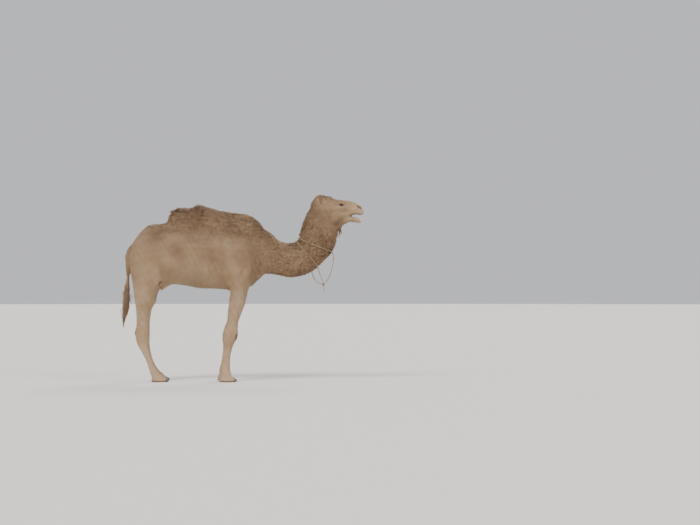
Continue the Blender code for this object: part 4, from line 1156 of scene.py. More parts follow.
# what the coat is at each point: the plan's rows weighted by one over the distance to the fourth power
def coatAt(points):
    mirrored = onLeft(points)
    lies, values = np.empty((len(points), 3)), np.empty((len(points), coatValues.shape[1]))
    for start in range(0, len(points), 20000):
        part = slice(start, start + 20000)
        away = ((mirrored[part, None] - coatPlaces[None]) ** 2).sum(-1) + 0.02**2
        share = away**-2
        share /= share.sum(1, keepdims=True)
        lies[part] = share @ coatLies
        values[part] = share @ coatValues
    lies[:, 1] *= np.where(points[:, 1] < 0, -1.0, 1.0) * ramp(mirrored[:, 1], 0.0, 0.03)
    return unit(lies), dict(zip(("depth", "length", "width", "colour", "wool"), values.T))


# the lie laid along the surface
def laidAlong(lies, normals):
    return unit(lies - (lies * normals).sum(1, keepdims=True) * normals)


coatColours = {"pale": (0.50, 0.36, 0.225), "sand": (0.36, 0.225, 0.12), "brown": (0.20, 0.108, 0.050)}
leather = (0.125, 0.072, 0.040)
# bare callosities: place on the left, radii along x, y and z
callosities = {
    "chest": ((-0.075, 0.0, 1.000), (0.125, 0.085, 0.040)),
    "elbow": ((-0.150, 0.150, 1.010), (0.030, 0.045, 0.036)),
    "knee": ((-0.072, 0.143, 0.510), (0.036, 0.042, 0.060)),
    "stifle": ((-0.905, 0.155, 1.085), (0.032, 0.045, 0.040)),
    "hock": ((-1.193, 0.130, 0.545), (0.030, 0.030, 0.032)),
}


# from 0 in the coat to 1 in the middle of a callosity, and on the soles
def bareAt(points):
    mirrored = onLeft(points)
    bare = 1 - ramp(points[:, 2], 0.010, 0.020)
    for place, radii in callosities.values():
        away = np.linalg.norm((mirrored - place) / np.array(radii), axis=1)
        bare = np.maximum(bare, ramp(away + 0.09 * noise(points, 0.03, 5), 1.12, 0.82))
    return bare


# markings of the face on the left, and painted light in the hollow by the brow: the line from one place to
# another, how broad, and how much darker
faceMarks = {
    "forehead": ((0.95, 0.0, 2.070), (1.06, 0.0, 2.045), 0.040, 0.32),
    "bridge": ((1.12, 0.0, 2.030), (1.27, 0.0, 1.998), 0.020, 0.26),
    "brow": ((1.11, 0.070, 2.006), (1.06, 0.082, 2.006), 0.012, 0.30),
    "eyeRing": ((1.085, 0.090, 1.940), (1.120, 0.080, 1.948), 0.020, -0.22),
    "tearLine": ((1.128, 0.074, 1.945), (1.180, 0.062, 1.905), 0.009, 0.34),
    "cheek": ((1.00, 0.095, 1.830), (1.07, 0.080, 1.770), 0.045, 0.16),
    "lips": ((1.345, 0.010, 1.885), (1.300, 0.040, 1.880), 0.022, -0.20),
    "noseSide": ((1.27, 0.055, 1.925), (1.20, 0.060, 1.900), 0.024, -0.10),
    "nostril": ((1.270, 0.050, 1.972), (1.315, 0.040, 1.945), 0.012, 0.30),
    "chin": ((1.31, 0.0, 1.780), (1.24, 0.0, 1.770), 0.024, -0.15),
    # painted light: the hollow between brow and nose bridge is made paler to offset the shade that gathers in
    # it
    "browHollowPaintedLight": ((1.125, 0.050, 2.010), (1.135, 0.056, 1.985), 0.022, -0.35),
}


# the markings, the same on skin and coat: the plan's colour, the marks of the face as bell shapes, and
# broad and small patches of noise, which is weaker on the face
def colourAt(points, values):
    mirrored = onLeft(points)
    calm = 1 - 0.65 * ramp(points[:, 0], 0.92, 1.02) * ramp(points[:, 2], 1.64, 1.76)
    level = values["colour"] + calm * (0.22 * noise(points, 0.28, 11) + 0.16 * noise(points, 0.07, 12))
    for start, end, broad, darker in faceMarks.values():
        level = level + darker * bell(awayFrom(mirrored, start, end), broad)
    pale, sand, brown = (np.array(coatColours[k]) for k in ("pale", "sand", "brown"))
    return blended(blended(pale, sand, np.clip(level, 0, 1)), brown, np.clip(level - 1, 0, 1.15))

# Relief of the skin: the line from one place to another on the left, how broad and how high, in metres.
# Bones and muscles stand out and hollows sink, each as a bell-shaped swell round its line.
reliefs = {
    "shoulderBlade": ((-0.05, 0.16, 1.77), (0.07, 0.21, 1.43), 0.045, 0.012),
    "behindShoulder": ((-0.17, 0.22, 1.72), (-0.19, 0.22, 1.26), 0.055, -0.016),
    "pointOfShoulder": ((0.135, 0.15, 1.35), (0.12, 0.16, 1.30), 0.060, 0.014),
    "shoulderHollow": ((0.13, 0.17, 1.55), (0.16, 0.16, 1.46), 0.050, -0.012),
    "armMuscle": ((-0.09, 0.21, 1.28), (-0.05, 0.21, 1.15), 0.050, 0.010),
    "armGroove": ((0.04, 0.22, 1.26), (-0.03, 0.22, 1.12), 0.028, -0.008),
    "elbow": ((-0.135, 0.16, 1.08), (-0.150, 0.155, 1.03), 0.034, 0.012),
    "forearmGroove": ((-0.05, 0.22, 1.00), (-0.10, 0.20, 0.74), 0.020, -0.006),
    "flankHollow": ((-0.82, 0.26, 1.58), (-0.78, 0.27, 1.40), 0.080, -0.024),
    "bellyTuck": ((-0.86, 0.20, 1.16), (-0.76, 0.20, 1.10), 0.060, -0.014),
    "hipBone": ((-0.870, 0.165, 1.67), (-0.900, 0.180, 1.64), 0.048, 0.014),
    "rumpHollow": ((-1.03, 0.17, 1.60), (-1.10, 0.17, 1.52), 0.050, -0.010),
    "seatBone": ((-1.205, 0.095, 1.56), (-1.215, 0.095, 1.54), 0.040, 0.012),
    "thighGroove": ((-1.14, 0.19, 1.46), (-1.17, 0.19, 1.08), 0.034, -0.011),
    "thighMuscle": ((-1.03, 0.23, 1.42), (-1.02, 0.23, 1.20), 0.060, 0.010),
    "kneeJoint": ((-0.925, 0.19, 1.10), (-0.945, 0.19, 1.05), 0.040, 0.010),
    "tendonOuter": ((-1.143, 0.20, 0.83), (-1.158, 0.175, 0.62), 0.018, -0.013),
    "tendonInner": ((-1.143, 0.075, 0.83), (-1.158, 0.085, 0.62), 0.018, -0.013),
    "hockPoint": ((-1.194, 0.130, 0.56), (-1.190, 0.130, 0.53), 0.026, 0.010),
    "hockBone": ((-1.120, 0.185, 0.52), (-1.100, 0.180, 0.48), 0.022, 0.006),
    "wrist": ((-0.075, 0.145, 0.555), (-0.088, 0.145, 0.475), 0.028, 0.007),
    "wristSide": ((-0.145, 0.200, 0.535), (-0.150, 0.198, 0.500), 0.020, 0.005),
    "foreTendonOuter": ((-0.192, 0.182, 0.42), (-0.208, 0.182, 0.19), 0.011, -0.006),
    "foreTendonInner": ((-0.192, 0.105, 0.42), (-0.208, 0.110, 0.19), 0.011, -0.006),
    "hindTendonOuter": ((-1.118, 0.175, 0.42), (-1.048, 0.178, 0.20), 0.011, -0.006),
    "hindTendonInner": ((-1.118, 0.092, 0.42), (-1.048, 0.105, 0.20), 0.011, -0.006),
    "foreFetlock": ((-0.235, 0.150, 0.145), (-0.230, 0.150, 0.125), 0.018, 0.006),
    "orbit": ((1.105, 0.074, 1.955), (1.085, 0.076, 1.955), 0.034, 0.012),
    "underEye": ((1.135, 0.070, 1.942), (1.045, 0.084, 1.938), 0.020, 0.008),
    "cheekBone": ((1.150, 0.070, 1.922), (1.010, 0.092, 1.914), 0.020, 0.004),
    "cheekHollow": ((1.175, 0.062, 1.892), (1.095, 0.080, 1.882), 0.024, -0.011),
    "jawMuscle": ((0.995, 0.095, 1.850), (1.020, 0.090, 1.790), 0.040, 0.003),
    "jawEdge": ((1.115, 0.055, 1.745), (1.025, 0.070, 1.712), 0.016, 0.003),
    "noseHollow": ((1.236, 0.052, 1.952), (1.160, 0.062, 1.978), 0.019, -0.0095),
    "browRidge": ((1.140, 0.056, 2.010), (1.062, 0.080, 2.016), 0.013, 0.0075),
    "eyeSocket": ((1.118, 0.078, 1.990), (1.078, 0.086, 1.990), 0.010, -0.0035),
    "cheekGroove": ((1.060, 0.088, 1.905), (1.000, 0.094, 1.870), 0.012, -0.004),
    "browFill": ((1.135, 0.048, 2.000), (1.155, 0.050, 1.992), 0.022, 0.007),
    "noseBone": ((1.250, 0.018, 2.000), (1.120, 0.022, 2.028), 0.012, 0.003),
    "temple": ((1.020, 0.080, 2.008), (0.990, 0.084, 1.995), 0.026, -0.011),
    "lipLine": ((1.168, 0.062, 1.850), (1.236, 0.056, 1.8515), 0.0050, -0.0060),
    "lipFold": ((1.158, 0.066, 1.866), (1.172, 0.060, 1.836), 0.0085, -0.0022),
    "upperLipSide": ((1.300, 0.042, 1.880), (1.245, 0.052, 1.868), 0.012, 0.0045),
    "upperLipPad": ((1.332, 0.022, 1.888), (1.326, 0.028, 1.880), 0.014, 0.005),
    "lipCleft": ((1.356, 0.0, 1.925), (1.345, 0.0, 1.858), 0.0062, -0.015),
    "noseCrease": ((1.268, 0.052, 1.935), (1.296, 0.048, 1.912), 0.0070, -0.003),
    "chinPad": ((1.225, 0.0, 1.778), (1.250, 0.0, 1.776), 0.016, 0.004),
    "lowerLipRim": ((1.304, 0.012, 1.812), (1.275, 0.032, 1.826), 0.011, 0.006),
}
ribPlan = {
    "count": 9, "first": -0.235, "apart": 0.062, "slope": -0.030, "high": 1.64, "low": 1.18, "rise": 0.018,
    "broad": 0.017, "height": 0.0042,
}
for k in range(ribPlan["count"]):
    x = ribPlan["first"] - k * ribPlan["apart"]
    bottom = (x + ribPlan["slope"], 0.26, ribPlan["low"] + ribPlan["rise"] * k)
    reliefs["rib%d" % k] = ((x, 0.26, ribPlan["high"]), bottom, ribPlan["broad"], ribPlan["height"])


# how far the relief lifts each point
def reliefAt(points):
    mirrored = onLeft(points)
    lift = np.zeros(len(points))
    for start, end, broad, height in reliefs.values():
        pair = "fore" if start[0] > -0.6 else "hind"
        away = mirrored - staggerAt(points, pair) if start[2] < 1.0 else mirrored
        lift += height * bell(awayFrom(away, start, end), broad)
    return lift


# how far back the leg under a point stands from the plan's middle line
def staggerAt(points, pair):
    top, low = bodyForm[pair + "Leg"][2][1], bodyForm["staggerBelow"]
    share = np.clip((top - points[:, 2]) / (top - low), 0, 1)
    return (-np.sign(points[:, 1]) * bodyForm[pair + "Stagger"] * share)[:, None] * np.array([1.0, 0, 0])


# the eye's axes: where it looks, forward along the lids, and up
def eyeAxes(side):
    mirror = np.array([1.0, side, 1.0])
    looks = unit(np.array(eyePlan["looks"]) * mirror)
    forward = np.array(eyePlan["forward"]) * mirror
    forward = unit(forward - forward @ looks * looks)
    up = np.cross(looks, forward)
    return np.array(eyePlan["centre"]) * mirror, looks, forward, up * np.sign(up[2])


# how far out from the middle of the opening a place is: 1 on the rim of the lids
def lidShare(along, rise):
    plan = eyePlan
    height = np.where(rise > 0, plan["upperHeight"], plan["lowerHeight"])
    sides = np.abs(along / plan["halfWidth"]) ** plan["corner"] + np.abs(rise / height) ** plan["corner"]
    return sides ** (1 / plan["corner"])


# lids: past the rim the skin lies on a ball a little larger than the eye and eases into the face;
# inside the rim it drops behind the eye. The nearest points are drawn onto the rim to make it crisp.
def withLids(points):
    plan = eyePlan
    for side in (1, -1):
        centre, looks, forward, up = eyeAxes(side)
        fromBall = points - centre
        out, along, rise = fromBall @ looks, fromBall @ forward, fromBall @ up
        share = lidShare(along, rise)
        near = (out > -0.004) & (share < plan["blendTo"]) & (np.linalg.norm(fromBall, axis=1) < 0.06)
        inside = np.where(share > plan["rimFrom"], plan["rimInner"], share)
        wanted = np.where(share < 1, inside, np.where(share < plan["rimTo"], 1.0, share))
        scale = np.where(near & (share > 1e-6), wanted / np.maximum(share, 1e-6), 1.0)
        along, rise = along * scale, rise * scale
        flat = along**2 + rise**2
        lid = plan["radius"] + plan["lidThick"] * (1 + 0.7 * ramp(wanted, 1.0, 1.5))
        lid = lid - plan["foldDepth"] * bell(wanted - 1.62, 0.13) * ramp(rise, -0.002, 0.004)
        lid = lid + plan["lowerSwell"] * bell(wanted - 1.5, 0.25) * ramp(rise, 0.0, -0.006)
        onLid = np.sqrt(np.maximum(lid**2 - flat, 0))
        inner = plan["radius"] - plan["behind"] - plan["behindMore"] * (1 - wanted)
        behind = np.sqrt(np.maximum(inner**2 - flat, 0))
        either = 0.5 * (onLid + out + np.sqrt((onLid - out) ** 2 + 0.006**2))  # a softened larger of the two
        eased = ramp(wanted, plan["blendFrom"], plan["blendFrom"] + 0.5)
        far = ramp(wanted, plan["farFrom"], plan["blendTo"])
        target = onLid * (1 - eased) + (either * (1 - far) + out * far) * eased
        target = np.where(wanted < 1, behind, target)
        moved = centre + along[:, None] * forward + rise[:, None] * up + target[:, None] * looks
        points = np.where(near[:, None], moved, points)
    return points


# nostrils: a slit sunk by a narrow bell round its line, with a rim raised a little further out
def withNostrils(points, outward):
    plan = nostrilPlan
    for side in (1, -1):
        start, end = np.array(plan["back"]) * (1, side, 1), np.array(plan["front"]) * (1, side, 1)
        facing = unit(np.array(plan["facing"]) * (1, side, 1))
        flat = points - ((points - start) @ facing)[:, None] * facing
        flatEnd = end - (end - start) @ facing * facing
        away = np.where(np.linalg.norm(points - start, axis=1) < 0.09, awayFrom(flat, start, flatEnd), 1.0)
        away = np.where(outward @ facing > 0, away, 1.0)
        sink = -plan["depth"] * np.exp(-((away / plan["halfWidth"]) ** 4))
        raised = plan["rim"] * bell(away - 3.0 * plan["halfWidth"], 1.7 * plan["halfWidth"])
        points = points + (sink + raised)[:, None] * outward
    return points


_, planned = coatAt(outer)
# the ears keep their walls: hardly any depth within 2 mm of an ear's own form
earMiddle, earDepth = (0.86, 0.08, 2.04), 0.0004
nearEars = np.where(np.linalg.norm(onLeft(outer) - earMiddle, axis=1) < 0.09)[0]
earPoints = np.vstack([earShape(1, 60, 31)[0], earShape(-1, 60, 31)[0]])
fromEar = np.full(len(outer), 1.0)
fromEar[nearEars] = np.sqrt(((outer[nearEars, None] - earPoints[None]) ** 2).sum(-1).min(1))
isEar = ramp(fromEar, 0.0045, 0.0025)
plannedDepth = planned["depth"] / 1000 * (1 - isEar)
skinDepth = relaxed(skinMesh, np.stack([plannedDepth] * 3, -1), np.ones(len(outer)), 40)[:, 0]
skinDepth = skinDepth * (1 - isEar) + earDepth * isEar
lift = reliefAt(outer) * (1 - isEar)
skinPoints = outer + (lift - skinDepth)[:, None] * outward
# deep wool on the tight curve of the poll would fold the skin, so it is softened there
onHead = ramp((outer - skinPlan["headCut"][0]) @ unit(np.array(skinPlan["headCut"][1])), -0.02, 0.0)
skinPoints = relaxed(skinMesh, skinPoints, onHead * ramp(skinDepth, 0.008, 0.016), skinPlan["pollPasses"])
skinPoints = seamsRelaxed(skinPoints, skinPlan["foldPasses"])
setPoints(skinMesh, skinPoints)
skinPoints = withNostrils(skinPoints, normalsOf(skinMesh))
skinPoints = withLids(skinPoints)
skinPoints[:, 2] = np.maximum(skinPoints[:, 2], 0)
setPoints(skinMesh, skinPoints)
skinNormals = normalsOf(skinMesh)

# Colours of the skin: the coat's markings, darkened as painted shade under the wool, with dark leather where
# it is bare and round the eyes, nostrils and lips, near-black painted shade inside the nostril slits, and the
# dark of the mouth.
# nostril: near-black painted shade for the depth of the slits, over their dark lining; gum: the mouth's own
# colour
skinTones = {"nostril": (0.012, 0.008, 0.006), "gum": (0.115, 0.045, 0.040)}
# painted shade: the skin is darker where the wool is deep, standing in for the shade under the locks
skinColour = colourAt(skinPoints, planned) * (0.95 - 0.38 * planned["wool"])[:, None]
bare = bareAt(skinPoints)
mouthMiddle = np.array([1.285, 0.0, 1.845])
fromMouth = mouthMiddle - skinPoints
towards = (skinNormals * unit(fromMouth)).sum(1)
inMouth = ramp(towards, 0.25, 0.6) * ramp(np.abs(skinPoints[:, 1]), 0.040, 0.032)
inMouth = inMouth * ramp(skinPoints[:, 0], 1.185, 1.200) * ramp(np.abs(fromMouth[:, 2]), 0.045, 0.030)
lipRim = 0.8 * ramp(towards, -0.05, 0.35) * ramp(np.linalg.norm(fromMouth, axis=1), 0.105, 0.085)
rims, slitFrom = np.zeros(len(skinPoints)), np.ones(len(skinPoints))
for side in (1, -1):
    centre, looks, forward, up = eyeAxes(side)
    fromBall = skinPoints - centre
    isNear = np.linalg.norm(fromBall, axis=1) < 0.05
    share = lidShare(fromBall @ forward, fromBall @ up)
    rims = np.maximum(rims, np.where(isNear, ramp(share, 1.34, 1.12), 0))
    back, front = (np.array(nostrilPlan[key]) * (1, side, 1) for key in ("back", "front"))
    slit = awayFrom(skinPoints, back, front)
    rims = np.maximum(rims, 0.9 * ramp(slit, 0.010, 0.006))
    slitFrom = np.minimum(slitFrom, slit)
bare = np.maximum.reduce([bare, rims, inMouth, lipRim])
leatherTone = np.array(leather) * (1 + 0.25 * noise(skinPoints, 0.02, 3))[:, None]
skinColour = blended(skinColour, leatherTone, bare)
# painted shade: the skin inside each nostril slit turns near-black, standing in for the slit's depth
skinColour = blended(skinColour, np.array(skinTones["nostril"]), ramp(slitFrom, 0.0052, 0.0030))
skinColour = blended(skinColour, np.array(skinTones["gum"]), inMouth)
setAttribute(skinMesh, "furColour", skinColour)
setAttribute(skinMesh, "bare", bare)
addPiece("skin", skinMesh, hide, "skin", fleshNodes)
print("skin in place")

# Eyes, nails and teeth


# a ball with its poles on the line of sight; the cornea bulges as a bell round that line
def eyeBall(side):
    centre, looks, forward, up = eyeAxes(side)
    polar = np.concatenate([np.linspace(0.004, 0.75, 26), np.linspace(0.80, math.pi - 0.03, 14)])
    radius = eyePlan["radius"] + eyePlan["cornea"] * np.exp(-((polar / 0.42) ** 4))
    axes = np.stack([looks, forward, up])
    points, faces = closedTube(radius[:, None, None] * ringsOfBall(polar, 64) @ axes + centre)
    fromBall = points - centre
    return points, faces, fromBall @ forward, fromBall @ up, fromBall @ looks


eyeColours = {
    "iris": (0.050, 0.022, 0.009), "irisEdge": (0.012, 0.006, 0.004), "pupil": (0.002, 0.002, 0.002),
    "white": (0.20, 0.15, 0.12),
}
glossy = {"Specular_IOR_Level": 0.15, "Coat_Weight": 0.55, "Coat_Roughness": 0.03}
eyeFinish, tree, shader = newFinish("eye", Roughness=0.30, **glossy)
tree.links.new(attributeOf(tree, "eyeColour", "Color"), shader.inputs["Base Color"])
iris, edge, pupil, white = (np.array(colour) for colour in eyeColours.values())
for side, name in ((1, "left"), (-1, "right")):
    points, faces, along, rise, out = eyeBall(side)
    away = np.hypot(along, rise)
    streaks = 0.25 * np.sin(np.arctan2(rise, along) * 31 + 3 * noise(points, 0.01, 4))
    inIris = ramp(away, 0.0150, 0.0138) * (out > 0)
    inPupil = ramp(np.abs(along / 0.0062) ** 2.6 + np.abs(rise / 0.0027) ** 2.6, 1.15, 0.85) * (out > 0)
    colour = blended(iris * (1 + streaks[:, None]), edge, ramp(away, 0.0105, 0.0140))
    colour = blended(white, blended(colour, pupil, inPupil), inIris)
    mesh = meshFrom("eye_" + name, points, faces)
    setAttribute(mesh, "eyeColour", colour)
    addPiece("eyeball_" + name, mesh, eyeFinish, "eye", ["eye_" + name])

nailPlan = {
    "radii": (0.0250, 0.0155, 0.0150),
    "height": 0.0225,
    "angle": 0.36,  # to each side of the cleft
    "reach": 0.870,  # from the foot's middle, as a share of the foot
    "blunt": 0.55,
    "squareTop": 0.85,
    "pitch": 0.42,
    "lowest": 0.003,
}
nailFinish, tree, shader = newFinish("nail", Roughness=0.42)
bands = grain(tree, 240.0, (0.5, 0.5, 3.0), 3.0)
shades = twoTones(tree, bands, 0.3, (0.035, 0.027, 0.022), 0.7, (0.13, 0.10, 0.075))
tree.links.new(shades, shader.inputs["Base Color"])
addBump(tree, shader, bands, 0.4, 0.001)


# a nail: a ball flattened to three radii, with blunt ends and a squarer top, tipped down in front,
# turned to its toe and cut flat below
def nailForm(pair, side, turn):
    plan = nailPlan
    deep, high = plan["radii"][1:]
    points, faces = ball((0, 0, 0), plan["radii"], 20, 28)
    across = np.hypot(points[:, 1] / deep, points[:, 2] / high)
    points[:, 1:] *= np.maximum(across, 0.02)[:, None] ** (plan["blunt"] - 1)
    points[:, 2] = np.sign(points[:, 2]) * np.abs(points[:, 2] / high) ** plan["squareTop"] * high
    angle = turn * plan["angle"]
    points = points @ turning(-plan["pitch"], 0, 2) @ turning(angle, 0, 1)
    x, y, length, width = footPlan(pair, side)
    forward, across = math.cos(angle) * length * plan["reach"], math.sin(angle) * width * plan["reach"]
    points = points + np.array((x + forward, y + across, plan["height"]))
    points[:, 2] = np.maximum(points[:, 2], plan["lowest"])
    return points, faces


for pair in ("fore", "hind"):
    for side, sideName in ((1, "left"), (-1, "right")):
        for turn, place in ((side, "outer"), (-side, "inner")):
            name = f"{pair}_{sideName}_{place}"
            mesh = meshFrom(name, *nailForm(pair, side, turn))
            addPiece("toenail_" + name, mesh, nailFinish, "nail", ["nail_" + name])

toothPlan = {
    "count": 6, "centre": (1.2530, 0.0, 1.8240), "arc": 0.0235, "spread": 150, "halfWidth": 0.0060,
    "high": 0.0165, "deep": 0.0042, "sunk": 0.006,
}
toothFinish, tree, shader = newFinish("tooth", Roughness=0.30, Coat_Weight=0.3, Coat_Roughness=0.15)
stain = grain(tree, 120.0, (1, 1, 0.4), 3.0)
shades = twoTones(tree, stain, 0.35, (0.33, 0.22, 0.09), 0.65, (0.60, 0.48, 0.28))
tree.links.new(shades, shader.inputs["Base Color"])


# front teeth: on an arc, each a spade that is narrow at the gum, broad near the top and thin at its edge
def toothRow(rings=12, count=20):
    plan = toothPlan
    rise = np.linspace(0, 1, rings)[:, None]
    angle = np.linspace(0, math.tau, count, endpoint=False)[None]
    broad = plan["halfWidth"] * (0.62 + 0.38 * np.sin(rise * 2.2)) * np.where(rise > 0.93, 0.86, 1)
    thick = plan["deep"] * (1 - 0.72 * rise**1.5)
    across, out = broad * np.sin(angle), plan["arc"] + (thick * np.cos(angle) + 0.004 * rise**2)
    parts = []
    for turn in np.radians(plan["spread"]) * np.linspace(-0.5, 0.5, plan["count"]):
        x = out * math.cos(turn) - across * math.sin(turn) + plan["centre"][0]
        y = out * math.sin(turn) + across * math.cos(turn)
        z = plan["centre"][2] - plan["sunk"] - 0.004 * abs(turn) + rise * plan["high"] + 0 * angle
        parts.append(closedTube(np.stack([x, y, z], -1)))
    return joined(parts)


addPiece("teeth", meshFrom("teeth", *toothRow()), toothFinish, "tooth")
print("eyes, nails and teeth")
# Tufts and locks of hair

# corners of one tuft of so many rings of three points and a tip: its root's cap, its sides and its tip
def tuftFaces(rings):
    faces = [(0, 1, 2)]
    for k in range(rings - 1):
        for x, y in ((0, 1), (1, 2), (2, 0)):
            a, b, c, d = 3 * k + x, 3 * k + 3 + x, 3 * k + 3 + y, 3 * k + y
            faces += [(a, b, c), (a, c, d)]
    last = 3 * rings - 3
    return np.array(faces + [(last + x, last + 3, last + y) for x, y in ((0, 1), (1, 2), (2, 0))], np.int32)


# Tufts along their middle lines. Round each line at each ring are three points: two beside it, as far
# apart as the tuft is wide there, and a ridge above them; its last place is the tip.
# lines is (tufts, rings + 1, 3); side and up are (tufts, 1 or rings, 3); half and thick (tufts, rings).
# finish is the material, the slot and the nodes replaced. Where rounded is given, the shading normals
# are the skin's own, turned that much to each side.
def hairPiece(name, lines, side, up, half, thick, places, roots, finish, rounded=None):
    size, rings = half.shape
    ring = lines[:, :-1]
    left, right = ring - half[..., None] * side, ring + half[..., None] * side
    ridge = ring + thick[..., None] * up
    points = np.concatenate([np.stack([left, right, ridge], 2).reshape(size, -1, 3), lines[:, -1:]], 1)
    each = points.shape[1]
    faces = (tuftFaces(rings)[None] + (np.arange(size) * each)[:, None, None]).reshape(-1, 3)
    points = points.reshape(-1, 3)
    points[:, 2] = np.maximum(points[:, 2], 0.0012)
    mesh = meshFrom(name, points, faces)
    along = np.concatenate([np.repeat(places, 3), [1.0]])
    across = np.concatenate([np.tile([0.0, 1.0, 0.5], rings), [0.5]])
    setAttribute(mesh, "along", np.tile(along, size))
    setAttribute(mesh, "across", np.tile(across, size))
    setAttribute(mesh, "shade", np.repeat(roots["shade"], each))
    setAttribute(mesh, "furColour", np.repeat(roots["colour"], each, axis=0))
    if rounded is not None:
        turns = np.array([-rounded, rounded, 0.0])[:, None]
        normals = unit(up[:, :, None] + turns * side[:, :, None]) + np.zeros((size, rings, 3, 3))
        normals = np.concatenate([normals.reshape(size, -1, 3), up[:, -1:]], 1)
        layer = mesh.attributes.new("custom_normal", "FLOAT_VECTOR", "POINT")
        layer.data.foreach_set("vector", normals.astype(np.float32).ravel())
    # OFBake: each tuft is a patch 0.003 across where its root lies on the skin's unwrap
    patch = 0.003 * np.stack([across, along], -1)
    flat = roots["unwrap"][:, None] * 0.994 + patch[None]
    layer = mesh.uv_layers.new(name="OFBake")
    layer.data.foreach_set("uv", flat.reshape(-1, 2)[faces.ravel()].astype(np.float32).ravel())
    print(name + ":", size, "tufts,", len(faces), "triangles")
    return addPiece(name, mesh, *finish)


# A tuft lying on the skin: its middle line runs from the root along its lie and rises from the skin as
# 1 less the square of the share of its length that is still ahead. It swings to the side and up as sine
# waves and is drawn to its clump by the share of its length to the power 1.3.
def makeTufts(name, roots, finish, rings, widths, rounded):
    share, across = np.array([*rings, 1.0])[None], np.array(widths)[None]
    lie, up = roots["lie"][:, None], roots["up"][:, None]
    own = {key: value[:, None] for key, value in roots.items()}
    turn = share * own["waves"] * math.tau + own["phase"]
    ahead = own["length"] * share + own["draw"] * share**1.3
    rise = own["lift"] * (1 - (1 - share) ** 2) - own["sink"] * (1 - share)
    rise = rise + 0.5 * own["swing"] * (np.cos(turn) * share)
    beside = own["swing"] * (np.sin(turn) * share) + own["pull"] * share**1.3
    side = np.cross(lie, up)
    line = own["at"] + ahead[..., None] * lie + rise[..., None] * up + beside[..., None] * side
    half, thick = 0.5 * own["width"] * across, own["thick"] * across
    return hairPiece(name, line, side, up, half, thick, np.array(rings), roots, finish, rounded)


# the skin's triangles, for sowing roots on
corners = trianglesOf(skinMesh)
cornerPoints = skinPoints[corners]
edges = cornerPoints[:, 1:] - cornerPoints[:, :1]
triangleArea = 0.5 * np.linalg.norm(np.cross(edges[:, 0], edges[:, 1]), axis=1)
triangleMiddle = cornerPoints.mean(1)


# Roots a spacing apart where wanted is over 0: many are thrown evenly over the skin, and one is kept
# in each cell of a grid, or dropped with the chance that wanted falls short of 1. Gives each root's
# place, normal, lie and the coat's values there. Bare skin gets none, and by a nostril they are short.
def sown(wanted, spacing, seed):
    random = np.random.default_rng(seed)
    area = np.where(wanted > 0, triangleArea, 0)
    reach = np.cumsum(area)
    count = int(reach[-1] / spacing**2 * 5)
    picked = np.searchsorted(reach, (np.arange(count) + random.random(count)) / count * reach[-1])
    picked = np.minimum(picked, len(corners) - 1)
    a, b = random.random((2, count))
    a, b = np.where(a + b > 1, 1 - a, a), np.where(a + b > 1, 1 - b, b)
    weights = np.stack([1 - a - b, a, b], -1)
    at = (cornerPoints[picked] * weights[..., None]).sum(1)
    shuffled = random.permutation(count)
    at, picked, weights = at[shuffled], picked[shuffled], weights[shuffled]
    cells = np.floor(at / (1.22 * spacing)).astype(np.int64)
    key = (cells[:, 0] * 73856093) ^ (cells[:, 1] * 19349663) ^ (cells[:, 2] * 83492791)
    _, kept = np.unique(key, return_index=True)
    kept = kept[random.random(len(kept)) < wanted[picked[kept]]]
    kept = kept[(weights[kept] * bare[corners[picked[kept]]]).sum(1) < 0.35]
    at, around, weights = at[kept], corners[picked[kept]], weights[kept]
    up = unit((skinNormals[around] * weights[..., None]).sum(1))
    lies, values = coatAt(at)
    values["depth"] = (weights * skinDepth[around]).sum(1) * 1000
    slitAway = awayFrom(onLeft(at), nostrilPlan["back"], nostrilPlan["front"])
    values["length"] = values["length"] * (0.35 + 0.65 * ramp(slitAway, 0.007, 0.022))
    return at, up, laidAlong(lies, up), values, random


# Each root's tuft: its size from the plan, its lie turned a little by smooth noise and by chance, and
# tips drawn together in clumps: roots that share a cell of a bent grid lean to the cell's middle.
def dressed(sowing, unwrap, seed, clump, draw, turn, tall=0.9, size=1.0, swing=0.0, wide=1.0, sink=1.0):
    at, up, lie, values, random = sowing
    count = len(at)
    side = np.cross(lie, up)
    waves = 0.9 * noise(at, 0.11, seed + 20) + 0.7 * noise(at, 0.035, seed + 21)
    angle = (np.radians(turn) * (waves + 0.5 * random.normal(size=count)))[:, None]
    lie = unit(lie * np.cos(angle) + side * np.sin(angle))
    side = np.cross(lie, up)
    bent = at + 0.5 * clump * np.stack([noise(at, 3 * clump, seed + k) for k in (1, 2, 3)], -1)
    cells = np.floor(bent / clump).astype(np.int64)
    _, group = np.unique(cells @ np.array([1, 4096, 4096**2]), return_inverse=True)
    members = np.bincount(group)
    toMiddle = np.stack([np.bincount(group, at[:, k]) / members for k in range(3)], -1)[group] - at
    groupChance = random.random((2, len(members)))[:, group]
    chance = 0.80 + 0.25 * random.random(count) + 0.30 * (groupChance[0] - 0.4)
    length = values["length"] / 1000 * size * chance
    lift = values["depth"] / 1000 * tall * (0.70 + 0.25 * random.random(count) + 0.25 * groupChance[1])
    width = values["width"] / 1000 * wide
    return {
        "at": at, "up": up, "lie": lie, "length": length, "lift": np.maximum(lift, 0.0016),
        "sink": sink * (0.0010 + 0.03 * length),
        "width": width * (0.75 + 0.5 * random.random(count)),
        "thick": width * 0.34 * (0.8 + 0.4 * random.random(count)),
        "pull": (toMiddle * side).sum(1) * draw, "draw": (toMiddle * lie).sum(1) * draw,
        "swing": swing * length * random.normal(size=count) * 0.6,
        "waves": 0.5 + 0.6 * random.random(count), "phase": random.random(count) * 0.8,
        "shade": np.clip(0.5 + 0.16 * random.normal(size=count) + 0.35 * (groupChance[0] - 0.5), 0, 1),
        "colour": colourAt(at, values), "unwrap": unwrap(at),
    }


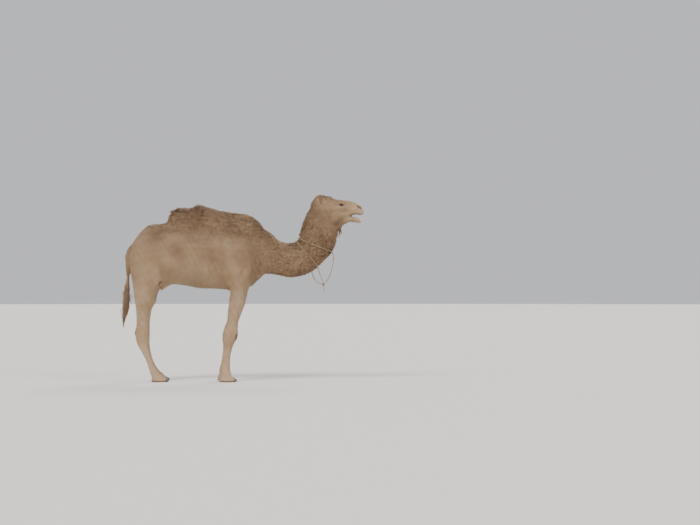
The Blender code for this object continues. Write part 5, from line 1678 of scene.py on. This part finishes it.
# Unwraps of the skin. Body: how far along X, and the angle round the trunk's middle. Neck and head:
# how far along the neck's line, and the angle round it. Legs: height, and the angle round the leg.
def bodyUnwrap(at):
    angle = np.arctan2(at[:, 2] - 1.42, np.abs(at[:, 1])) / math.pi + 0.5
    return np.clip(np.stack([(at[:, 0] + 1.36) / 1.75, angle], -1), 0, 1)


def neckUnwrap(at):
    line = eased([row[:2] for row in bodyForm["neck"]] + [(1.05, 1.99), (1.36, 1.90)], 8)
    reach = reachAlong(line)
    nearest = ((at[:, None, [0, 2]] - line[None]) ** 2).sum(-1).argmin(1)
    along = np.gradient(line, axis=0)[nearest]
    offset = at[:, [0, 2]] - line[nearest]
    length = np.linalg.norm(along, axis=1)
    up = (offset[:, 1] * along[:, 0] - offset[:, 0] * along[:, 1]) / length
    fine = reach[nearest] + (offset * along).sum(1) / length
    angle = np.arctan2(up, np.abs(at[:, 1])) / math.pi + 0.5
    return np.clip(np.stack([fine / reach[-1], angle], -1), 0, 1)


def legUnwrap(pair):
    rows = np.array(bodyForm[pair + "Leg"])[::-1]

    def unwrap(at):
        x = np.interp(at[:, 2], rows[:, 1], rows[:, 0]) + staggerAt(at, pair)[:, 0]
        y = np.interp(at[:, 2], rows[:, 1], rows[:, 4])
        angle = np.arctan2(np.abs(at[:, 1]) - y, at[:, 0] - x) / math.tau + 0.5
        return np.clip(np.stack([angle, at[:, 2] / 1.3], -1), 0, 1)

    return unwrap


# where each triangle of the skin belongs
_, onTriangles = coatAt(triangleMiddle)
tx, ty, tz = triangleMiddle.T
fromBorder = (triangleMiddle - np.array(skinPlan["headCut"][0])) @ unit(np.array(skinPlan["headCut"][1]))
isHead = (fromBorder > 0) & (tx > 0.7)
isNeck = ~isHead & (tx > 0.24) & (tz > 0.9)
isBorder = (fromBorder > -0.05) & (fromBorder < 0.045) & (tx > 0.7) & (onTriangles["wool"] > 0.12)
isTail = (tx < -1.258) & (tz < 1.48) & (tz > 1.0) & (np.abs(ty) < 0.045)
isLeg = (tz < 1.06) & ~isNeck & ~isHead & ~isTail & (np.abs(ty) > 0.03)
isLeg = isLeg & ((tz < 0.97) | (tx < -1.15) | (np.abs(ty) > 0.235))
isBody = ~(isHead | isNeck | isLeg | isTail)
woolly = ramp(onTriangles["wool"] + 0.10 * noise(triangleMiddle, 0.12, 31), 0.16, 0.62)
woolly = np.where(isNeck, np.maximum(woolly, ramp(tx, 0.25, 0.42)), woolly)
furred = (isBody | isNeck) * (1 - ramp(woolly, 0.45, 0.95))
isRear, isHind = tx <= -0.52, tx <= -0.6

# The coat: how a tuft is finished and formed, and how tufts are laid, for each kind
shortFinish, woolFinish = (shortFur, "short_coat"), (woolFur, "wool")
flatTuft = (shortFinish, {"rings": (0.0,), "widths": (1.0,), "rounded": 0.5})
longTuft = (shortFinish, {"rings": (0.0, 0.34, 0.70), "widths": (0.75, 1.0, 0.72), "rounded": 0.8})
woolTuft = (woolFinish, {"rings": (0.0, 0.36, 0.72), "widths": (0.75, 1.0, 0.7), "rounded": 0.9})
bodyFur = {"clump": 0.022, "draw": 0.28, "turn": 13, "wide": 0.68, "sink": 0.6}
headFur = {"clump": 0.011, "draw": 0.2, "turn": 10, "wide": 0.66, "sink": 0.3}
legFur = {"clump": 0.016, "draw": 0.2, "turn": 10, "tall": 0.8, "wide": 0.68, "sink": 0.45}
dockFur = {"clump": 0.02, "draw": 0.3, "turn": 10, "tall": 1.4}
fleece = {"clump": 0.042, "draw": 0.50, "turn": 22, "tall": 1.05, "swing": 0.12, "wide": 0.80}
throatFleece = {"clump": 0.030, "draw": 0.25, "turn": 14, "tall": 1.0, "size": 1.15, "wide": 0.70}
# for each piece: where it grows, its spacing in metres, seed, unwrap, tuft and lay
coatPieces = {
    "coat_front": (furred * ~isRear, 0.0050, 100, bodyUnwrap, flatTuft, bodyFur),
    "coat_rear": (furred * isRear, 0.0050, 110, bodyUnwrap, flatTuft, bodyFur),
    "wool_back": (isBody * woolly, 0.0066, 120, bodyUnwrap, woolTuft, fleece),
    "wool_neck": (isNeck * woolly, 0.0068, 130, neckUnwrap, woolTuft, fleece),
    "wool_throat": (isBorder, 0.0085, 170, neckUnwrap, woolTuft, throatFleece),
    "coat_head": (isHead, 0.0029, 140, neckUnwrap, flatTuft, headFur),
    "coat_fore_leg": (isLeg & ~isHind, 0.0051, 150, legUnwrap("fore"), flatTuft, legFur),
    "coat_hind_leg": (isLeg & isHind, 0.0051, 150, legUnwrap("hind"), flatTuft, legFur),
    "coat_dock": (isTail, 0.0058, 160, bodyUnwrap, longTuft, dockFur),
}
for sideName, onSide in (("left", ty >= 0), ("right", ty < 0)):
    for name, (where, spacing, seed, unwrap, (finish, form), lay) in coatPieces.items():
        sowing = sown(where * onSide, spacing, seed + (sideName == "left"))
        makeTufts(f"{name}_{sideName}", dressed(sowing, unwrap, seed, **lay), finish, **form)

# Long hair: each strand's middle line is given whole, and its width narrows to the tip


# strands round their lines, with a width for each at its root
def makeStrands(name, lines, width, roots, finish):
    places = np.linspace(0, 1, lines.shape[1] - 1, endpoint=False)
    along = unit(np.gradient(lines, axis=1))[:, :-1]
    outwards = unit(np.cross(along, np.array([0.31, 0.22, 0.07])))
    half = 0.5 * width[:, None] * (1 - 0.75 * places**2)[None]
    side = np.cross(along, outwards)
    return hairPiece(name, lines, side, outwards, half, 0.8 * half, places, roots, finish)


# Tail: the tuft's line and its half depth and half width at each height come from the tail's form.
# Strands grow from its upper half and fall; each lock of them keeps to its own angle and distance.
tailPlan = {
    "strands": 1150, "locks": 22, "steps": 9, "width": 0.0030, "top": 1.150, "low": 0.86, "tip": 0.612,
    "shortest": 0.13, "longest": 0.30, "perWisp": 9,
}
tailRows = eased(bodyForm["tail"], 6)[::-1]


def tailLines(random):
    plan, count = tailPlan, tailPlan["strands"]
    lock = random.integers(0, plan["locks"], count)

    def perLock(low, high):
        return random.uniform(low, high, plan["locks"])[lock]

    lockAngle, lockOut = perLock(0, math.tau), perLock(0.2, 1.15)
    lockTop = perLock(0, 1) ** 0.8
    down = np.clip(lockTop + 0.12 * random.normal(size=count), 0, 1)
    start = plan["top"] - (plan["top"] - plan["low"]) * down
    length = random.uniform(plan["shortest"], plan["longest"], count) * (0.85 + 0.3 * perLock(0, 1))
    finish = np.maximum(start - length, plan["tip"] + 0.03 * random.random(count))
    share = np.linspace(0, 1, plan["steps"] + 1)[None]
    z = start[:, None] + (finish - start)[:, None] * share
    middle, deep, wide = (np.interp(z, tailRows[:, 1], tailRows[:, k]) for k in (0, 2, 3))
    rootAngle = random.uniform(0, math.tau, count)
    turn = np.angle(np.exp(1j * (lockAngle - rootAngle)))  # the shorter way round to the lock
    wave = 0.25 * np.sin(share * 5 + lockAngle[:, None] * 3)
    angle = rootAngle[:, None] + turn[:, None] * ((share**0.8) * 0.8) + wave
    out = 0.35 * (1 - share) + share * (lockOut * random.uniform(0.85, 1.15, count))[:, None]
    out = out + 0.10 * np.sin(share * 9 + lockAngle[:, None] * 2)
    lines = np.stack([middle + 0.95 * deep * out * np.cos(angle), 0.95 * wide * out * np.sin(angle), z], -1)
    level = {"colour": 1.55 + 0.25 * perLock(-1, 1)}
    shade = np.clip(0.5 + 0.15 * random.normal(size=count) + 0.3 * (perLock(0, 1) - 0.5), 0, 1)
    return lines, {
        "colour": colourAt(np.tile([[-1.29, 0.0, 1.2]], (count, 1)), level),
        "shade": shade,
        "unwrap": np.stack([0.02 + 0.05 * rootAngle / math.tau, (start - 0.6) / 2], -1),
    }


# wisps that leave the tuft: height of the root, and where the tip is
wisps = [
    (0.90, (-1.384, 0.004, 0.735)), (0.93, (-1.378, -0.012, 0.770)), (0.88, (-1.368, 0.012, 0.700)),
    (1.06, (-1.357, 0.008, 0.975)), (1.04, (-1.352, -0.010, 1.000)), (1.02, (-1.232, -0.018, 0.952)),
    (1.01, (-1.215, -0.030, 0.945)), (0.98, (-1.246, 0.012, 0.905)), (0.80, (-1.352, 0.004, 0.618)),
    (0.83, (-1.343, -0.006, 0.604)), (0.78, (-1.338, 0.003, 0.600)), (0.86, (-1.347, 0.000, 0.612)),
]
random = np.random.default_rng(77)
lines, roots = tailLines(random)
extra = []
share = np.linspace(0, 1, tailPlan["steps"] + 1)[:, None]
for height, tip in wisps:
    for _ in range(tailPlan["perWisp"]):
        x = np.interp(height, tailRows[:, 1], tailRows[:, 0])
        root = np.array([x, 0.0, height + 0.02 * random.normal()])
        end = np.array(tip) + random.normal(size=3) * (0.004, 0.004, 0.012)
        sag = np.array([0, 0, -0.5 * abs(end[0] - root[0]) - 0.010]) * np.sin(share * math.pi) * 0.6
        wave = 0.002 * np.sin(share * 8 + height * 50) * np.array([1, 1, 0])
        extra.append(root + (end - root) * share**1.15 + sag + wave)
lines = np.concatenate([lines, np.array(extra)])
roots = {key: np.concatenate([value, value[: len(extra)]]) for key, value in roots.items()}
width = tailPlan["width"] * np.random.default_rng(3).uniform(0.6, 1.25, len(lines))
makeStrands("tail_hair", lines, width, roots, (longHair, "wool", ["tail_tuft"]))


# lines that leave their places one way and bend to another over their reach
def bentLines(at, first, last, reach, steps=7):
    share = np.linspace(0, 1, steps + 1)[None, :, None]
    way = first[:, None] * (share - share**2 / 2) + last[:, None] * share**2 / 2
    return at[:, None] + reach[:, None, None] * way


# Tufts and wisps that break the outline, beard, brows and the like: where they grow on the left, how
# far they spread, which way their tips lie, length, count on each side and width.
spots = {
    "beard": ((1.095, 0.010, 1.715), (0.020, 0.012, 0.010), (0.30, 0, -1), 0.094, 60, 0.0026),
    "beardRear": ((1.030, 0.012, 1.665), (0.030, 0.020, 0.012), (0.05, 0, -1), 0.060, 60, 0.0030),
    "nape": ((0.665, 0.010, 1.700), (0.020, 0.040, 0.070), (-0.25, 0, -1), 0.085, 110, 0.0034),
    "napeHigh": ((0.755, 0.015, 1.900), (0.025, 0.040, 0.070), (-0.45, 0, -1), 0.075, 90, 0.0034),
    "neckTop": ((0.560, 0.008, 1.560), (0.035, 0.018, 0.010), (-0.30, 0, 1), 0.048, 40, 0.0030),
    "crown": ((0.900, 0.010, 2.085), (0.060, 0.028, 0.010), (-0.9, 0.1, 0.3), 0.042, 110, 0.0028),
    "forelock": ((0.985, 0.008, 2.060), (0.030, 0.022, 0.008), (-0.8, 0.1, 0.5), 0.026, 60, 0.0022),
    "brow": ((1.105, 0.064, 2.012), (0.034, 0.010, 0.006), (-0.5, 0.5, 0.4), 0.013, 44, 0.0010),
    "nostril": ((1.330, 0.018, 1.945), (0.008, 0.010, 0.008), (0.5, 0.1, 0.9), 0.014, 12, 0.0011),
    "croup": ((-1.050, 0.010, 1.755), (0.018, 0.014, 0.006), (-0.5, 0, 0.9), 0.034, 34, 0.0030),
    "humpRear": ((-0.775, 0.015, 1.925), (0.018, 0.035, 0.014), (-0.9, 0.1, 0.6), 0.066, 70, 0.0038),
    "humpRearLow": ((-0.835, 0.020, 1.840), (0.012, 0.060, 0.040), (-0.8, 0.1, -0.5), 0.052, 70, 0.0038),
    "humpTop": ((-0.470, 0.008, 1.970), (0.050, 0.018, 0.006), (-0.6, 0.1, 0.7), 0.046, 60, 0.0034),
    "humpBack": ((-0.640, 0.010, 1.940), (0.080, 0.020, 0.006), (-0.8, 0.1, 0.5), 0.044, 60, 0.0034),
    "humpFront": ((-0.250, 0.010, 1.910), (0.130, 0.020, 0.008), (-0.8, 0.1, 0.5), 0.040, 70, 0.0034),
    "throat": ((1.045, 0.010, 1.470), (0.014, 0.022, 0.050), (0.1, 0, -1), 0.060, 70, 0.0034),
    "throatHigh": ((1.065, 0.010, 1.620), (0.014, 0.024, 0.060), (0.1, 0, -1), 0.062, 70, 0.0034),
    "neckBottom": ((0.560, 0.008, 1.170), (0.030, 0.016, 0.008), (-0.7, 0, -0.8), 0.042, 40, 0.0030),
    "neckUnder": ((0.760, 0.010, 1.230), (0.100, 0.020, 0.050), (-0.8, 0, -0.8), 0.044, 70, 0.0032),
    "sheath": ((-0.905, 0.006, 1.012), (0.026, 0.016, 0.008), (-0.6, 0, -1), 0.013, 40, 0.0008),
    "elbow": ((-0.145, 0.150, 1.060), (0.020, 0.020, 0.020), (-0.4, 0, -1), 0.040, 46, 0.0024),
    "kneeBack": ((-0.222, 0.143, 0.500), (0.010, 0.022, 0.060), (-0.5, 0, -1), 0.026, 70, 0.0018),
    "heel": ((-0.245, 0.150, 0.120), (0.008, 0.022, 0.020), (-0.4, 0, -1), 0.020, 36, 0.0016),
    "lipWhiskers": ((1.305, 0.040, 1.888), (0.026, 0.010, 0.016), (0.5, 0.7, -0.5), 0.034, 26, 0.0006),
    "chinWhiskers": ((1.265, 0.022, 1.785), (0.036, 0.020, 0.010), (0.25, 0.4, -1), 0.038, 24, 0.0006),
    "eyeWhiskers": ((1.105, 0.084, 1.928), (0.026, 0.010, 0.008), (0.35, 1, -0.35), 0.030, 8, 0.0006),
    "earRim": ((0.868, 0.118, 2.065), (0.020, 0.016, 0.026), (0.3, 0.3, 1), 0.020, 60, 0.0014),
}
skinTree = BVHTree.FromPolygons(skinPoints.tolist(), [list(p.vertices) for p in skinMesh.polygons])


# the strands of one spot on one side: they leave the skin along its lie and bend to the spot's own way
def spotLines(place, spread, way, length, count, side, random, steps=7):
    mirror = np.array([1.0, side, 1.0])
    thrown = (np.array(place) + random.uniform(-1, 1, (count, 3)) * spread) * mirror
    nearest = [skinTree.find_nearest(Vector(point))[:2] for point in thrown]
    at, up = np.array(nearest).transpose(1, 0, 2)
    lies, values = coatAt(at)
    start = unit(laidAlong(lies, up) + 0.55 * up)
    cells = np.floor(at / 0.022).astype(np.int64) @ np.array([1, 64, 4096])
    _, group = np.unique(cells, return_inverse=True)
    groups = group.max() + 1
    lean = random.normal(size=(groups, 3))[group] * 0.22 + random.normal(size=(count, 3)) * 0.10
    end = unit(np.array(way) * mirror + lean)
    reach = length * random.uniform(0.55, 1.1, count) * (0.8 + 0.4 * random.random(groups)[group])
    wave = np.sin(np.linspace(0, 1, steps + 1)[None, :, None] * 7 + group[:, None, None])
    lines = bentLines(at - 0.002 * up, start, end, reach, steps)
    lines = lines + 0.03 * reach[:, None, None] * wave * np.cross(start, end)[:, None]
    values["colour"] = values["colour"] + 0.10 + 0.12 * random.normal(size=count)
    return lines, colourAt(at, values), at


random = np.random.default_rng(501)
parts = {"lines": [], "width": [], "colour": [], "shade": [], "unwrap": []}
for *spot, width in spots.values():
    for side in (1, -1):
        lines, colour, at = spotLines(*spot, side, random)
        count = len(lines)
        parts["lines"].append(lines)
        parts["width"].append(width * random.uniform(0.7, 1.2, count))
        parts["colour"].append(colour)
        parts["shade"].append(np.clip(0.5 + 0.17 * random.normal(size=count), 0, 1))
        parts["unwrap"].append(np.where(at[:, :1] > 0.24, neckUnwrap(at), bodyUnwrap(at)))
roots = {key: np.concatenate(value) for key, value in parts.items()}
makeStrands("long_tufts", roots["lines"], roots["width"], roots, (longHair, "wool"))

# lashes: two rows on the upper lid and one on the lower: count, length, start and end of the way they
# point, as shares of the way up
lashRows = [(46, 1, 0.024, -0.15, 0.35), (40, 1, 0.018, -0.15, 0.75), (30, -1, 0.010, 0.05, -0.6)]


def lashLines(side, random):
    centre, looks, forward, up = eyeAxes(side)
    plan, rows = eyePlan, []
    for count, lid, length, startUp, endUp in lashRows:
        place = np.linspace(-0.93, 0.93, count) + random.normal(size=count) * 0.012
        height = lid * (plan["upperHeight"] if lid > 0 else plan["lowerHeight"])
        height = height * (1 - np.abs(place) ** plan["corner"]) ** (1 / plan["corner"])
        along = place * plan["halfWidth"]
        out = np.sqrt((plan["radius"] + 0.0015) ** 2 - (along**2 + height**2))
        root = centre + along[:, None] * forward + height[:, None] * up + out[:, None] * looks
        fan = place[:, None] * forward * 0.55
        first, last = unit(looks + fan + up * startUp), unit(looks * 0.55 + fan * 1.5 + up * endUp)
        reach = length * (1 - 0.45 * np.abs(place) ** 2) * random.uniform(0.8, 1.1, count)
        rows.append(bentLines(root, first, last, reach))
    return np.concatenate(rows)


random = np.random.default_rng(640)
lines = np.concatenate([lashLines(side, random) for side in (1, -1)])
count = len(lines)
roots = {
    "colour": np.tile([[0.030, 0.020, 0.014]], (count, 1)), "shade": np.full(count, 0.5),
    "unwrap": neckUnwrap(lines[:, 0]),
}
makeStrands("lashes", lines, np.full(count, 0.0007), roots, (longHair, "short_coat"))
print("coat in place")
